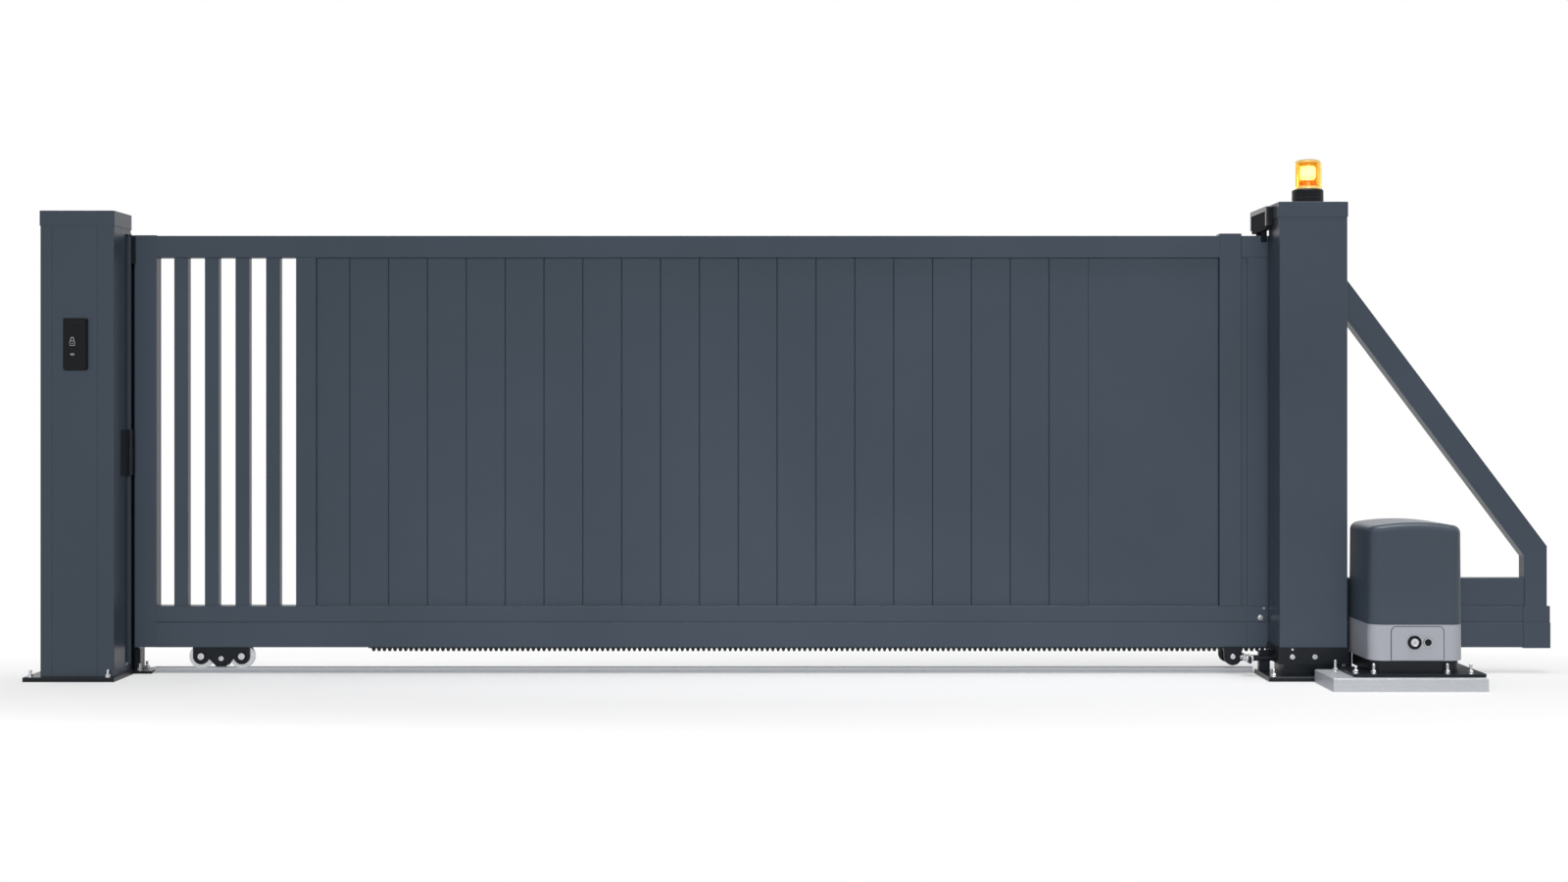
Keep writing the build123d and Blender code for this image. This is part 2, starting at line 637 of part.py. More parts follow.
def key_lock():
    """The round lock on the release door, with a smaller plug beside it."""
    z = band_z0 + DOOR_LIFT + LOCK_RISE
    front = motor_front - DOOR_PROUD
    x = motor_x + LOCK_OFFSET
    lock = rod_y(x, z, LOCK_R, front - LOCK_OUT, front)
    lock = chamfer(lock.faces().sort_by(Axis.Y)[0].edges(), 2)
    lock -= rod_y(x, z, LOCK_BORE_R, front - LOCK_OUT - 1, front - LOCK_OUT + LOCK_BORE)
    plug = rod_y(x + BARREL_SPACING, z, BARREL_R, front - LOCK_OUT / 2, front)
    plug = chamfer(plug.faces().sort_by(Axis.Y)[0].edges(), 1)
    return Compound(children=[lock, plug])


def output_housing():
    """The offset gearcase that brings the drive down to the pinion."""
    y0 = motor_back
    y1 = motor_back + NOSE_D
    upper_z = pinion_z + NOSE_RISE
    case = rod_y(motor_x, upper_z, NOSE_TOP_R, y0, y1)
    case += rod_y(motor_x, pinion_z, NOSE_LOW_R, y0, y1)
    sides = [(motor_x - NOSE_LOW_R, pinion_z), (motor_x + NOSE_LOW_R, pinion_z),
             (motor_x + NOSE_TOP_R, upper_z), (motor_x - NOSE_TOP_R, upper_z)]
    case += slice_y(sides, y0, y1)
    return case - rod_y(motor_x, pinion_z, PINION_SHAFT_R + SHAFT_CLEARANCE, y1 - SHAFT_DEPTH - 1, y1 + 1)


def involute(angle):
    return math.tan(angle) - angle


def pinion():
    """A straight-toothed pinion with involute flanks, on its shaft. One tooth points up at rest."""
    alpha = math.radians(PRESSURE_ANGLE)
    base_r = pitch_r * math.cos(alpha)
    root_r = pitch_r - RACK_ADDENDUM - ROOT_CLEARANCE
    tip_r = pitch_r + PINION_ADDENDUM
    half_tooth = (tooth_pitch / 2 - BACKLASH / 2) / (2 * pitch_r)
    radii = [base_r + (tip_r - base_r) * step / 4 for step in range(5)]
    flank = [(r, half_tooth + involute(alpha) - involute(math.acos(base_r / r))) for r in radii]
    half_tooth_outline = [(root_r, flank[0][1])] + flank
    points = []
    for tooth in range(PINION_TEETH):
        middle = math.pi / 2 - tooth * 2 * math.pi / PINION_TEETH
        for r, a in half_tooth_outline:
            points.append((r * math.cos(middle + a), r * math.sin(middle + a)))
        for r, a in reversed(half_tooth_outline):
            points.append((r * math.cos(middle - a), r * math.sin(middle - a)))
    placed = [(motor_x + x, pinion_z + z) for x, z in points]
    y0 = rack_y - PINION_T / 2
    gear = slice_y(placed, y0, y0 + PINION_T)
    return gear + rod_y(motor_x, pinion_z, PINION_SHAFT_R, motor_back + NOSE_D - SHAFT_DEPTH, y0 + 1)


# Leaf
def leading_stile():
    return tube_z(leaf_x0, bay_x0, leaf_y, LEAF_BOTTOM, LEAF_TOP, LEAF_T)


def top_rail():
    return tube_x(bay_x0, rear_x0, leaf_y, infill_z1, LEAF_TOP, LEAF_T)


def bottom_rail():
    rail = tube_x(bay_x0, leaf_x1, leaf_y, beam_top, infill_z0, LEAF_T)
    return rail - block(tail_x0 - 5, tail_x0 - 2, leaf_front - 1, leaf_front + 1.5, beam_top, infill_z0)


def track_beam():
    """The heavy lower beam, with a pocket in its underside for the bogie's wheels."""
    beam = tube_x(bay_x0, leaf_x1, leaf_y, LEAF_BOTTOM, beam_top, BEAM_T, BEAM_WALL)
    reach = BOGIE_WHEELBASE / 2 + WHEEL_R + 8
    half = WHEEL_T / 2 + BEAM_POCKET_GAP
    beam -= block(bogie_x - reach, bogie_x + reach, leaf_y - half, leaf_y + half,
                  LEAF_BOTTOM - 1, LEAF_BOTTOM + BEAM_WALL + 1)
    return beam - block(tail_x0 - 5, tail_x0 - 2, beam_front - 1, beam_front + 1.5, LEAF_BOTTOM, beam_top)


def pickets():
    """Upright bars with equal gaps between the leading stile and the mullion."""
    gap = (PICKET_BAY - PICKETS * PICKET_W) / (PICKETS + 1)
    bars = []
    for number in range(PICKETS):
        x0 = bay_x0 + gap + number * (PICKET_W + gap)
        bars.append(tube_z(x0, x0 + PICKET_W, leaf_y, infill_z0, infill_z1, PICKET_T))
    return Compound(children=bars)


def mullion():
    return tube_z(mullion_x0, boards_x0, leaf_y, infill_z0, infill_z1, LEAF_T)


def board_panel():
    """Upright boards, joined edge to edge with a V joint on both faces."""
    joints = [boards_x0 + FIRST_BOARD_W + number * BOARD_PITCH for number in range(BOARDS - 1)]
    front = leaf_y - BOARD_T / 2
    back = leaf_y + BOARD_T / 2
    points = [(boards_x0, front)]
    for x in joints:
        points += [(x - JOINT_W / 2, front), (x, front + JOINT_DEPTH), (x + JOINT_W / 2, front)]
    points += [(boards_x1, front), (boards_x1, back)]
    for x in reversed(joints):
        points += [(x + JOINT_W / 2, back), (x, back - JOINT_DEPTH), (x - JOINT_W / 2, back)]
    points.append((boards_x0, back))
    face = Pos(0, 0, infill_z0) * make_face(Polyline(*points, close=True))
    return extrude(face, amount=infill_z1 - infill_z0)


def plain_panel():
    front = leaf_y - BOARD_T / 2
    panel = block(boards_x1, rear_x0, front, front + BOARD_T, infill_z0, infill_z1)
    return chamfer(panel.edges().filter_by(Axis.Z), JOINT_W / 2)


def rear_stile():
    return tube_z(rear_x0, rear_x1, leaf_y, infill_z0, LEAF_TOP + REAR_STILE_RISE, LEAF_T)


def tail_stile():
    """The tail frame's upright, with the filler strip that closes it to the rear stile."""
    stile = tube_z(tail_x0, tail_x1, leaf_y, infill_z0, infill_z1, LEAF_T)
    strip = block(rear_x1, tail_x0, leaf_y - STRIP_T / 2, leaf_y + STRIP_T / 2, infill_z0, infill_z1)
    return stile + strip


def tail_top_rail():
    """The short top rail of the tail, cut to the mitre of the brace."""
    inner_x = brace_x0 - brace_run + TOP_RAIL_H / brace_slope
    rail = tube_x(rear_x1, brace_x0, leaf_y, infill_z1, LEAF_TOP, LEAF_T)
    low = infill_z1 - CUT_MARGIN
    right = brace_x0 + CUT_MARGIN
    waste = [(brace_x0, LEAF_TOP), (inner_x, infill_z1), (inner_x, low), (right, low), (right, LEAF_TOP)]
    return rail - slice_y(waste, leaf_front - CUT_MARGIN, leaf_front + LEAF_T + CUT_MARGIN)


def brace_ends():
    """The corners of the brace, seen from the front."""
    top_inner = (brace_x0 - brace_run + TOP_RAIL_H / brace_slope, infill_z1)
    low_inner_x = leaf_x1 - TAIL_POST_W
    low_inner_z = LEAF_TOP - (low_inner_x - brace_x0 + brace_run) * brace_slope
    return [(brace_x0, LEAF_TOP), (leaf_x1, TAIL_POST_TOP), (low_inner_x, low_inner_z), top_inner]


def between(start, end, share):
    """The point at a share of the way from start to end."""
    return (start[0] + (end[0] - start[0]) * share, start[1] + (end[1] - start[1]) * share)


def diagonal_brace():
    """A tube between two mitres, from the top rail down to the tail post."""
    top_outer, low_outer, low_inner, top_inner = brace_ends()
    share = TUBE_WALL / BRACE_W
    room = [
        between(top_outer, top_inner, share), between(low_outer, low_inner, share),
        between(low_inner, low_outer, share), between(top_inner, top_outer, share),
    ]
    outer = slice_y(brace_ends(), leaf_front, leaf_front + LEAF_T)
    return outer - slice_y(room, leaf_front + TUBE_WALL, leaf_front + LEAF_T - TUBE_WALL)


def tail_post():
    corners = brace_ends()
    low_inner = corners[2]
    post = tube_z(leaf_x1 - TAIL_POST_W, leaf_x1, leaf_y, infill_z0, TAIL_POST_TOP, LEAF_T)
    left = low_inner[0] - CUT_MARGIN
    top = TAIL_POST_TOP + CUT_MARGIN
    waste = [(leaf_x1, TAIL_POST_TOP), low_inner, (left, low_inner[1]), (left, top), (leaf_x1, top)]
    return post - slice_y(waste, leaf_front - CUT_MARGIN, leaf_front + LEAF_T + CUT_MARGIN)


def tail_bar():
    return tube_x(tail_x1, leaf_x1 - TAIL_POST_W, leaf_y, infill_z0, infill_z0 + TAIL_BAR_H, TAIL_BAR_T)


def tail_end_cap():
    """A stepped sleeve over the ends of the beam and the bottom rail, closed by a plate."""
    x0 = leaf_x1 - END_CAP_LAP
    x1 = leaf_x1 + END_CAP_T
    room_x1 = leaf_x1
    beam_half = BEAM_T / 2 + END_CAP_RIM
    rail_half = LEAF_T / 2 + END_CAP_RIM
    cap = block(x0, x1, leaf_y - beam_half, leaf_y + beam_half, LEAF_BOTTOM - END_CAP_RIM, beam_top)
    cap += block(x0, x1, leaf_y - rail_half, leaf_y + rail_half, beam_top, infill_z0)
    cap = chamfer(cap.faces().sort_by(Axis.X)[-1].edges(), END_CAP_RIM * 0.8)
    beam_half = BEAM_T / 2 + SEAT
    rail_half = LEAF_T / 2 + SEAT
    cap -= block(x0 - 1, room_x1, leaf_y - beam_half, leaf_y + beam_half, LEAF_BOTTOM - SEAT, beam_top)
    return cap - block(x0 - 1, room_x1, leaf_y - rail_half, leaf_y + rail_half, beam_top - 1, infill_z0 + 1)


def rack():
    """A straight rack under the beam. A tooth space lies over the pinion's upper tooth."""
    x0 = motor_x - TRAVEL - RACK_END
    x1 = motor_x + RACK_END
    half = (tooth_pitch / 2 - BACKLASH / 2) / 2
    slope = math.tan(math.radians(PRESSURE_ANGLE))
    root_z = pitch_z + rack_dedendum
    tip_z = pitch_z - RACK_ADDENDUM
    root_half = half + rack_dedendum * slope
    tip_half = half - RACK_ADDENDUM * slope
    first = math.ceil((x0 + root_half - motor_x) / tooth_pitch - 0.5)
    last = math.floor((x1 - root_half - motor_x) / tooth_pitch - 0.5)
    points = [(x0, LEAF_BOTTOM), (x0, root_z)]
    for tooth in range(first, last + 1):
        x = motor_x + (tooth + 0.5) * tooth_pitch
        points += [(x - root_half, root_z), (x - tip_half, tip_z), (x + tip_half, tip_z), (x + root_half, root_z)]
    points += [(x1, root_z), (x1, LEAF_BOTTOM)]
    return slice_y(points, rack_y - RACK_T / 2, rack_y + RACK_T / 2)


def bogie_frame():
    """Two shaped plates and a spacer under the beam, with the axles of the two wheels."""
    half_base = BOGIE_WHEELBASE / 2
    gap = WHEEL_T / 2 + WHEEL_SIDE_GAP
    end = half_base + BOGIE_LOBE_R
    half_foot = BOGIE_FOOT_W / 2
    half_top = half_foot + wheel_z - BOGIE_FOOT_Z
    foot = [(bogie_x - half_top, wheel_z), (bogie_x - half_foot, BOGIE_FOOT_Z),
            (bogie_x + half_foot, BOGIE_FOOT_Z), (bogie_x + half_top, wheel_z)]
    frame = block(bogie_x - BOGIE_SPACER_W / 2, bogie_x + BOGIE_SPACER_W / 2,
                  leaf_y - gap - 1, leaf_y + gap + 1, BOGIE_FOOT_Z + BOGIE_SPACER_LIFT, LEAF_BOTTOM)
    for side in (-1, 1):
        near = leaf_y + side * gap
        far = near + side * BOGIE_PLATE_T
        y0 = min(near, far)
        y1 = max(near, far)
        frame += block(bogie_x - end, bogie_x + end, y0, y1, wheel_z, LEAF_BOTTOM)
        frame += slice_y(foot, y0, y1)
        for axle_x in (bogie_x - half_base, bogie_x + half_base):
            frame += rod_y(axle_x, wheel_z, BOGIE_LOBE_R, y0, y1)
        frame += rod_y(bogie_x + side * half_base, wheel_z, AXLE_R, leaf_y - gap - 1, leaf_y + gap + 1)
    return frame


def bogie_wheel(side):
    """A wheel with a round groove that runs over the head of the rail."""
    x = bogie_x + side * BOGIE_WHEELBASE / 2
    y0 = leaf_y - WHEEL_T / 2
    wheel = rod_y(x, wheel_z, WHEEL_R, y0, y0 + WHEEL_T)
    groove_r = RAIL_HEAD_W / 2 + 0.5
    groove = Pos(x, leaf_y, wheel_z) * Rot(90, 0, 0) * Torus(WHEEL_R - GROOVE_DEPTH + groove_r, groove_r)
    wheel -= groove
    return wheel - rod_y(x, wheel_z, AXLE_R + SHAFT_CLEARANCE, y0 - 1, y0 + WHEEL_T + 1)


nodes = {
    "catch_post": catch_post(),
    "catch_post_cap": post_cap(catch_x, catch_y, CATCH_W, CATCH_D, CATCH_TOP),
    "catch_post_base": catch_post_base(),
    "catch_column": catch_column(),
    "catch_foot": catch_foot(),
    "lock_keeper": lock_keeper(),
    "access_reader": access_reader(),
    "drive_post": drive_post(),
    "drive_post_cap": post_cap(0, 0, DRIVE_W, DRIVE_D, DRIVE_TOP),
    "drive_post_base": drive_post_base(),
    "top_guide_portal": top_guide_portal(),
    "guide_block_front": guide_block(-1),
    "guide_block_rear": guide_block(1),
    "beacon_base": beacon_base(),
    "beacon_lens": beacon_lens(),
    "beacon_lamp": beacon_lamp(),
    "ground_rail": ground_rail(),
    "carriage_frame": carriage_frame(),
    "support_roller": support_roller(),
    "motor_slab": motor_slab(),
    "motor_base": motor_base(),
    "motor_gearbox": motor_gearbox(),
    "motor_cover": motor_cover(),
    "release_door": release_door(),
    "key_lock": key_lock(),
    "output_housing": output_housing(),
    "pinion": pinion(),
    "leading_stile": leading_stile(),
    "top_rail": top_rail(),
    "bottom_rail": bottom_rail(),
    "track_beam": track_beam(),
    "pickets": pickets(),
    "mullion": mullion(),
    "board_panel": board_panel(),
    "plain_panel": plain_panel(),
    "rear_stile": rear_stile(),
    "tail_stile": tail_stile(),
    "tail_top_rail": tail_top_rail(),
    "diagonal_brace": diagonal_brace(),
    "tail_post": tail_post(),
    "tail_bar": tail_bar(),
    "tail_end_cap": tail_end_cap(),
    "rack": rack(),
    "bogie_frame": bogie_frame(),
    "bogie_wheel_front": bogie_wheel(-1),
    "bogie_wheel_rear": bogie_wheel(1),
}

os.makedirs("parts", exist_ok=True)
for name, shape in nodes.items():
    export_step(shape, "parts/" + name + ".step")
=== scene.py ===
"""Dresses the sliding gate with its coats and metals, fasteners, flashing lamp, reader face and key lock, and
sets it in a plain studio."""
import json
import math

import bpy
import numpy as np
from bpy.props import FloatProperty, FloatVectorProperty, IntProperty, PointerProperty
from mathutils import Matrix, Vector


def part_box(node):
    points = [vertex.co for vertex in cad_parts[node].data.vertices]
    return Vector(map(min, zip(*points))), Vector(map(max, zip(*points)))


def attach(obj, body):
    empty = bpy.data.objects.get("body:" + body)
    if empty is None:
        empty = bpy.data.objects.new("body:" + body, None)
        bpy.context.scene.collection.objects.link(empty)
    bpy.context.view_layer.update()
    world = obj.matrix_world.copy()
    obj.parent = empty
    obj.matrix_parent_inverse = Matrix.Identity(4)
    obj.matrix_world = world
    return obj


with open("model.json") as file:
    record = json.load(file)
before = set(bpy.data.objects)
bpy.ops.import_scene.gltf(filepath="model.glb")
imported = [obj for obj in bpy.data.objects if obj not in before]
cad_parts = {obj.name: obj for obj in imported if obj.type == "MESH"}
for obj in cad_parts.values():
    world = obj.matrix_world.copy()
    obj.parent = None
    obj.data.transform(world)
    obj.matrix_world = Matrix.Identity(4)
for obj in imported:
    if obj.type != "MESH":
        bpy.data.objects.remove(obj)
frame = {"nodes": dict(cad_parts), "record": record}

bl_info = {
    "name": "Sliding gate dressing",
    "version": (1, 0, 0),
    "blender": (4, 5, 0),
    "location": "3D View > Sidebar > Gate",
    "description": "Finishes and fine detail for a rack-driven sliding gate",
    "category": "Object",
}

NODES = frame["nodes"]
SLOTS = {part["node"]: part["material_slot"] for part in frame["record"]["subparts"]}
MOUNTS = {mount["name"]: mount for mount in frame["record"]["mounts"]}
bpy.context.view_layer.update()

# Sizes of the CAD parts that their boxes don't give, in metres
COLLAR_OUT = 0.0042               # how far the collar stands out from the drive post
FOOT_PLATE = 0.010                # thickness of the column's foot and of the drive unit's base plate
CHEEK_GAP = 0.009                 # from the leaf's beam to a cheek of the support carriage
CHEEK = 0.008                     # thickness of a cheek and of the crossbar
CROSSBAR_REACH = 0.086            # from the drive post to the far side of the crossbar
TIES_BACK = (0.020, 0.059)        # how far back each tie rod stands
DOOR_CORNER = 0.016               # radius of the release door's upper corners

# Anchors of the drive unit, a row each: rise, side of the base plate and x from it, end of the plate and y from it
LEFT, RIGHT = 0, 1
FRONT, BACK = 0, 1
UNIT_ANCHORS = (
    (0.022, LEFT, 0.0150, FRONT, 0.0375),
    (0.033, LEFT, 0.0723, FRONT, 0.0275),
    (0.033, RIGHT, -0.1257, FRONT, 0.0275),
    (0.033, RIGHT, -0.0490, FRONT, 0.0225),
    (0.033, RIGHT, -0.0300, BACK, -0.0300),
)
SLAB_ANCHOR = (0.038, -0.0187, -0.184)   # rise, x from the base plate's left side, and y

# Screws of the collar and of the leaf's stop, in metres
COLLAR_BOLTS_X = (-0.0744, 0.0035)
COLLAR_BOLTS_Z = 0.080
COLLAR_SCREW = (-0.0743, 0.1055)         # x and z
COLLAR_SIDE_BOLTS = ((-0.0095, 0.0975), (-0.0400, 0.0715))   # y and z
COLLAR_PINS_X = (-0.0432, -0.0235)
COLLAR_PINS_Z = 0.1045
STOP_BOLT = (-0.1424, 0.0165)            # x, and height over the beam
STOP_SCREW = (-0.1303, 0.0507)

# Angles of shading in degrees: edges sharper than this stay sharp
CRISP = 35
MOULDED = 50

# Large soft lamps, a row each: name, place, size, its setting, whether metal mirrors it, and its spread in degrees
GATE_MIDDLE = (-1.77, 0.0, 0.8)
LAMPS = (
    ("front_lamp", (-1.6, -11.5, 2.1), (5.0, 2.4), "front", False, 180.0),
    ("upper_lamp", (-1.8, -0.1, 5.0), (9.0, 2.0), "above", True, 60.0),
    ("back_lamp", (-1.8, 8.0, 2.4), (5.0, 2.4), "back", False, 180.0),
)


def colour(name, default, description):
    """A linear colour setting."""
    return FloatVectorProperty(name=name, description=description, subtype="COLOR", size=3,
                               min=0.0, max=1.0, default=default)


def length(name, default, description):
    """A length setting in metres."""
    return FloatProperty(name=name, description=description, default=default, min=0.0, precision=4,
                         unit="LENGTH")


def lamp_power(name, default, place):
    """The power of a large lamp in watts."""
    return FloatProperty(name=name, description="Power of the lamp " + place, default=default, min=0.0,
                         unit="POWER")


class GateFinishSettings(bpy.types.PropertyGroup):
    """Colours of the gate's coats and metals."""
    coat: colour("Powder coat", (0.053, 0.069, 0.092), "Anthracite coat of posts and leaf")
    dark_coat: colour("Dark coat", (0.009, 0.011, 0.014), "Near-black coat of brackets and plates")
    hood: colour("Hood", (0.054, 0.070, 0.093), "Moulded hood of the drive unit")
    casting: colour("Casting", (0.395, 0.410, 0.455), "Silver lower housing of the drive unit")
    zinc: colour("Zinc", (0.62, 0.63, 0.65), "Plated fasteners")
    galvanised: colour("Galvanised steel", (0.48, 0.50, 0.53), "Slab and ground rail")
    plastic: colour("Black plastic", (0.010, 0.011, 0.013), "Reader, lamp foot and rollers")
    amber: colour("Amber", (0.95, 0.74, 0.36), "Clear wall of the flashing lamp")
    inner_amber: colour("Inner amber", (1.0, 0.76, 0.32), "Fluted inner lens of the flashing lamp")
    deep_amber: colour("Deep amber", (0.90, 0.42, 0.03), "Reflector round the lamp's stem")
    glow: colour("Lamp light", (1.0, 0.96, 0.86), "Lit block in the lamp")
    mark: colour("Marks", (0.72, 0.74, 0.76), "Symbols on the reader")


class GateDetailSettings(bpy.types.PropertyGroup):
    """Sizes of the fasteners and small details."""
    anchor_radius: length("Anchor radius", 0.0055, "Radius of an anchor stud")
    anchor_rise: length("Anchor rise", 0.026, "How far an anchor stands over its plate")
    thread_pitch: length("Thread pitch", 0.0022, "Distance from thread to thread")
    axle_head: length("Axle head radius", 0.012, "Radius of a bogie axle's head")
    cover_bolt: length("Collar bolt radius", 0.009, "Radius of the collar's and cheek's bolts")
    lens_flutes: IntProperty(name="Lens flutes", description="Upright flutes of the lamp's inner lens",
                             default=24, min=8, max=60)
    lock_face: length("Lock face radius", 0.0138, "Radius of the silver disc in the lock")
    outline: length("Outline width", 0.0012, "Width of the raised line round the lock")


class GateStageSettings(bpy.types.PropertyGroup):
    """The camera and the light of the plain studio."""
    place: FloatVectorProperty(name="Camera place", description="Where the camera stands", size=3,
                               subtype="TRANSLATION", unit="LENGTH", default=(-1.830, -7.241, 0.951))
    lens: FloatProperty(name="Focal length", description="Camera lens in millimetres", default=47.57,
                        unit="CAMERA")
    shift: FloatProperty(name="Vertical shift", description="Camera shift, in frame widths", default=-0.0231)
    fill: FloatProperty(name="Fill", description="Strength of the even light around", default=0.05)
    front: lamp_power("Front lamp", 1055.0, "before the gate")
    above: lamp_power("Upper lamp", 78.0, "over the gate")
    back: lamp_power("Back lamp", 260.0, "behind the gate")
    floor: colour("Floor", (0.50, 0.50, 0.505), "Pale floor round the gate")
    floor_glow: FloatProperty(name="Floor glow", description="White that the floor shows by itself by the gate",
                              default=0.40, min=0.0)


# Shapes

def turned(profile, steps, closed=False, flutes=0, depth=0.0):
    """A profile of (radius, height) pairs carried round the Z axis: x is the radius times the cosine of the angle,
    and y the radius times its sine. Radius 0 at either end closes it with one point, and a closed profile runs
    back to its first pair. Flutes multiply the radius by 1 + depth times the cosine of flutes times the angle."""
    rings = np.array([point for point in profile if point[0] > 0.0])
    angle = np.arange(steps) * (2.0 * math.pi / steps)
    ripple = 1.0 + depth * np.cos(flutes * angle)
    ring_x = rings[:, :1] * ripple * np.cos(angle)
    ring_y = rings[:, :1] * ripple * np.sin(angle)
    ring_z = np.repeat(rings[:, 1:], steps, axis=1)
    points = np.stack([ring_x, ring_y, ring_z], axis=-1).reshape(-1, 3)
    here = np.arange(steps)
    following = (here + 1) % steps
    count = len(rings)
    row = np.arange(count if closed else count - 1)[:, None]
    low, high = row * steps, (row + 1) % count * steps
    quads = np.stack([low + here, low + following, high + following, high + here], axis=-1)
    faces = quads.reshape(-1, 4).tolist()
    if closed:
        return points, faces
    if profile[0][0] == 0.0:
        pole = len(points)
        points = np.vstack([points, [0.0, 0.0, profile[0][1]]])
        faces += np.stack([following, here, np.full(steps, pole)], axis=-1).tolist()
    if profile[-1][0] == 0.0:
        pole = len(points)
        last = (count - 1) * steps
        points = np.vstack([points, [0.0, 0.0, profile[-1][1]]])
        faces += np.stack([last + here, last + following, np.full(steps, pole)], axis=-1).tolist()
    return points, faces


def block_shape(low, high, bevel=0.0008):
    """A block between two corners: its section is carried upwards through four rings, and the first and last
    rings are inset by the bevel."""
    low = np.asarray(low, float)
    high = np.asarray(high, float)
    middle = (low + high) / 2.0
    half = (high - low) / 2.0
    cut = min(bevel, half.min() * 0.5)
    inset = np.array([cut, 0.0, 0.0, cut])
    height = np.array([-half[2], -half[2] + cut, half[2] - cut, half[2]])
    corners = np.array([(1, 1), (-1, 1), (-1, -1), (1, -1)], float)
    flat = corners[None] * (half[:2] - inset[:, None])[:, None]
    points = np.dstack([flat, np.repeat(height[:, None], 4, axis=1)]).reshape(-1, 3) + middle
    here = np.arange(4)
    row = np.arange(3)[:, None] * 4
    sides = np.stack([row + here, row + (here + 1) % 4, row + 4 + (here + 1) % 4, row + 4 + here], axis=-1)
    return points, [[3, 2, 1, 0]] + sides.reshape(-1, 4).tolist() + [[12, 13, 14, 15]]


def pointed(shape, axis):
    """Turns a shape from +Z to another axis. Each turn is a rotation, so faces still point outwards."""
    points, faces = shape
    x, y, z = points[:, 0], points[:, 1], points[:, 2]
    turned_points = {
        "+Z": (x, y, z), "-Z": (x, -y, -z),
        "+X": (z, x, y), "-X": (-z, -x, y),
        "+Y": (y, z, x), "-Y": (y, -z, -x),
    }[axis]
    return np.stack(turned_points, axis=-1), faces


def moved(shape, place):
    """Shifts a shape to a place."""
    points, faces = shape
    return points + np.asarray(place, float), faces


def joined(shapes):
    """Several shapes as one list of points and faces."""
    points = []
    faces = []
    start = 0
    for shape_points, shape_faces in shapes:
        points.append(shape_points)
        faces += [[corner + start for corner in face] for face in shape_faces]
        start += len(shape_points)
    return np.vstack(points), faces


def ribbon(path, width, thick, closed=False):
    """A flat ribbon carried along a path in X and Z, facing -Y: each point is widened by half the width to either
    side, along the path's normal."""
    path = np.asarray(path, float)
    if closed:
        along = np.roll(path, -1, axis=0) - np.roll(path, 1, axis=0)
    else:
        along = np.gradient(path, axis=0)
    along /= np.linalg.norm(along, axis=1, keepdims=True)
    side = np.stack([-along[:, 1], along[:, 0]], axis=-1) * width / 2.0
    count = len(path)
    left, right = path + side, path - side
    rows = [
        np.column_stack([left[:, 0], np.zeros(count), left[:, 1]]),
        np.column_stack([right[:, 0], np.zeros(count), right[:, 1]]),
        np.column_stack([right[:, 0], np.full(count, -thick), right[:, 1]]),
        np.column_stack([left[:, 0], np.full(count, -thick), left[:, 1]]),
    ]
    points = np.vstack(rows)
    here = np.arange(count if closed else count - 1)
    following = (here + 1) % count
    row = np.arange(4)[:, None]
    low, high = row * count, (row + 1) % 4 * count
    quads = np.stack([low + here, low + following, high + following, high + here], axis=-1)
    faces = quads.reshape(-1, 4).tolist()
    if not closed:
        last = count - 1
        faces.append([0, count, 2 * count, 3 * count])
        faces.append([3 * count + last, 2 * count + last, count + last, last])
    return points, faces


def arc(centre, radius, start, end, steps):
    """Points on an arc in X and Z: the centre plus the radius times the cosine and sine of angles in degrees."""
    angle = np.radians(np.linspace(start, end, steps))
    return np.column_stack([centre[0] + radius * np.cos(angle), centre[1] + radius * np.sin(angle)])


def middle_of(node):
    """The middle of a CAD part's box: half the sum of its two corners."""
    low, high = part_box(node)
    return [(near + far) / 2.0 for near, far in zip(low, high)]


def make_piece(name, shape, body, material, smooth_angle=None):
    """Puts a shape into a mesh that rides on a body, and takes the slot of its material."""
    points, faces = shape
    mesh = bpy.data.meshes.new(name)
    mesh.from_pydata(points.tolist(), [], faces)
    mesh.validate()
    mesh.update()
    piece = bpy.data.objects.new(name, mesh)
    bpy.context.scene.collection.objects.link(piece)
    mesh.materials.append(bpy.data.materials[material])
    if smooth_angle is not None:
        mesh.shade_smooth()
        mesh.set_sharp_from_angle(angle=math.radians(smooth_angle))
    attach(piece, body)
    return piece


# Fasteners

def threads(radius, low, high, pitch):
    """The profile of a threaded stud: the radius goes out and in once for each pitch, up to a pointed end."""
    root, tip = radius * 0.88, radius * 0.65
    turns = max(int((high - low) / pitch), 1)
    heights = np.linspace(low, high - radius * 0.3, 2 * turns + 1)
    radii = np.where(np.arange(len(heights)) % 2 == 0, radius, root)
    return [(0.0, low)] + list(zip(radii.tolist(), heights.tolist())) + [(tip, high), (0.0, high)]


def stud(radius, low, high, pitch):
    """A threaded stud of 14 sides."""
    return turned(threads(radius, low, high, pitch), 14)


def hex_prism(radius, low, high):
    """A hexagon nut or head with its corners broken: a profile carried round in six steps."""
    cut = radius * 0.12
    return turned([(0.0, low), (radius * 0.97, low), (radius, low + cut), (radius, high - cut),
                   (radius * 0.86, high), (0.0, high)], 6)


def washer(radius, low, high):
    """A flat disc with its upper edge broken."""
    cut = (high - low) * 0.3
    return turned([(0.0, low), (radius, low), (radius, high - cut), (radius - cut, high), (0.0, high)], 24)


def anchor(radius, rise, depth, pitch):
    """A stud through a plate, with a washer, a nut and its thread above. Height 0 is the plate's top."""
    washer_top = radius * 0.35
    return joined([
        stud(radius, -depth, rise, pitch),
        washer(radius * 1.76, 0.0, washer_top),
        hex_prism(radius * 1.7, washer_top, radius * 1.85),
    ])


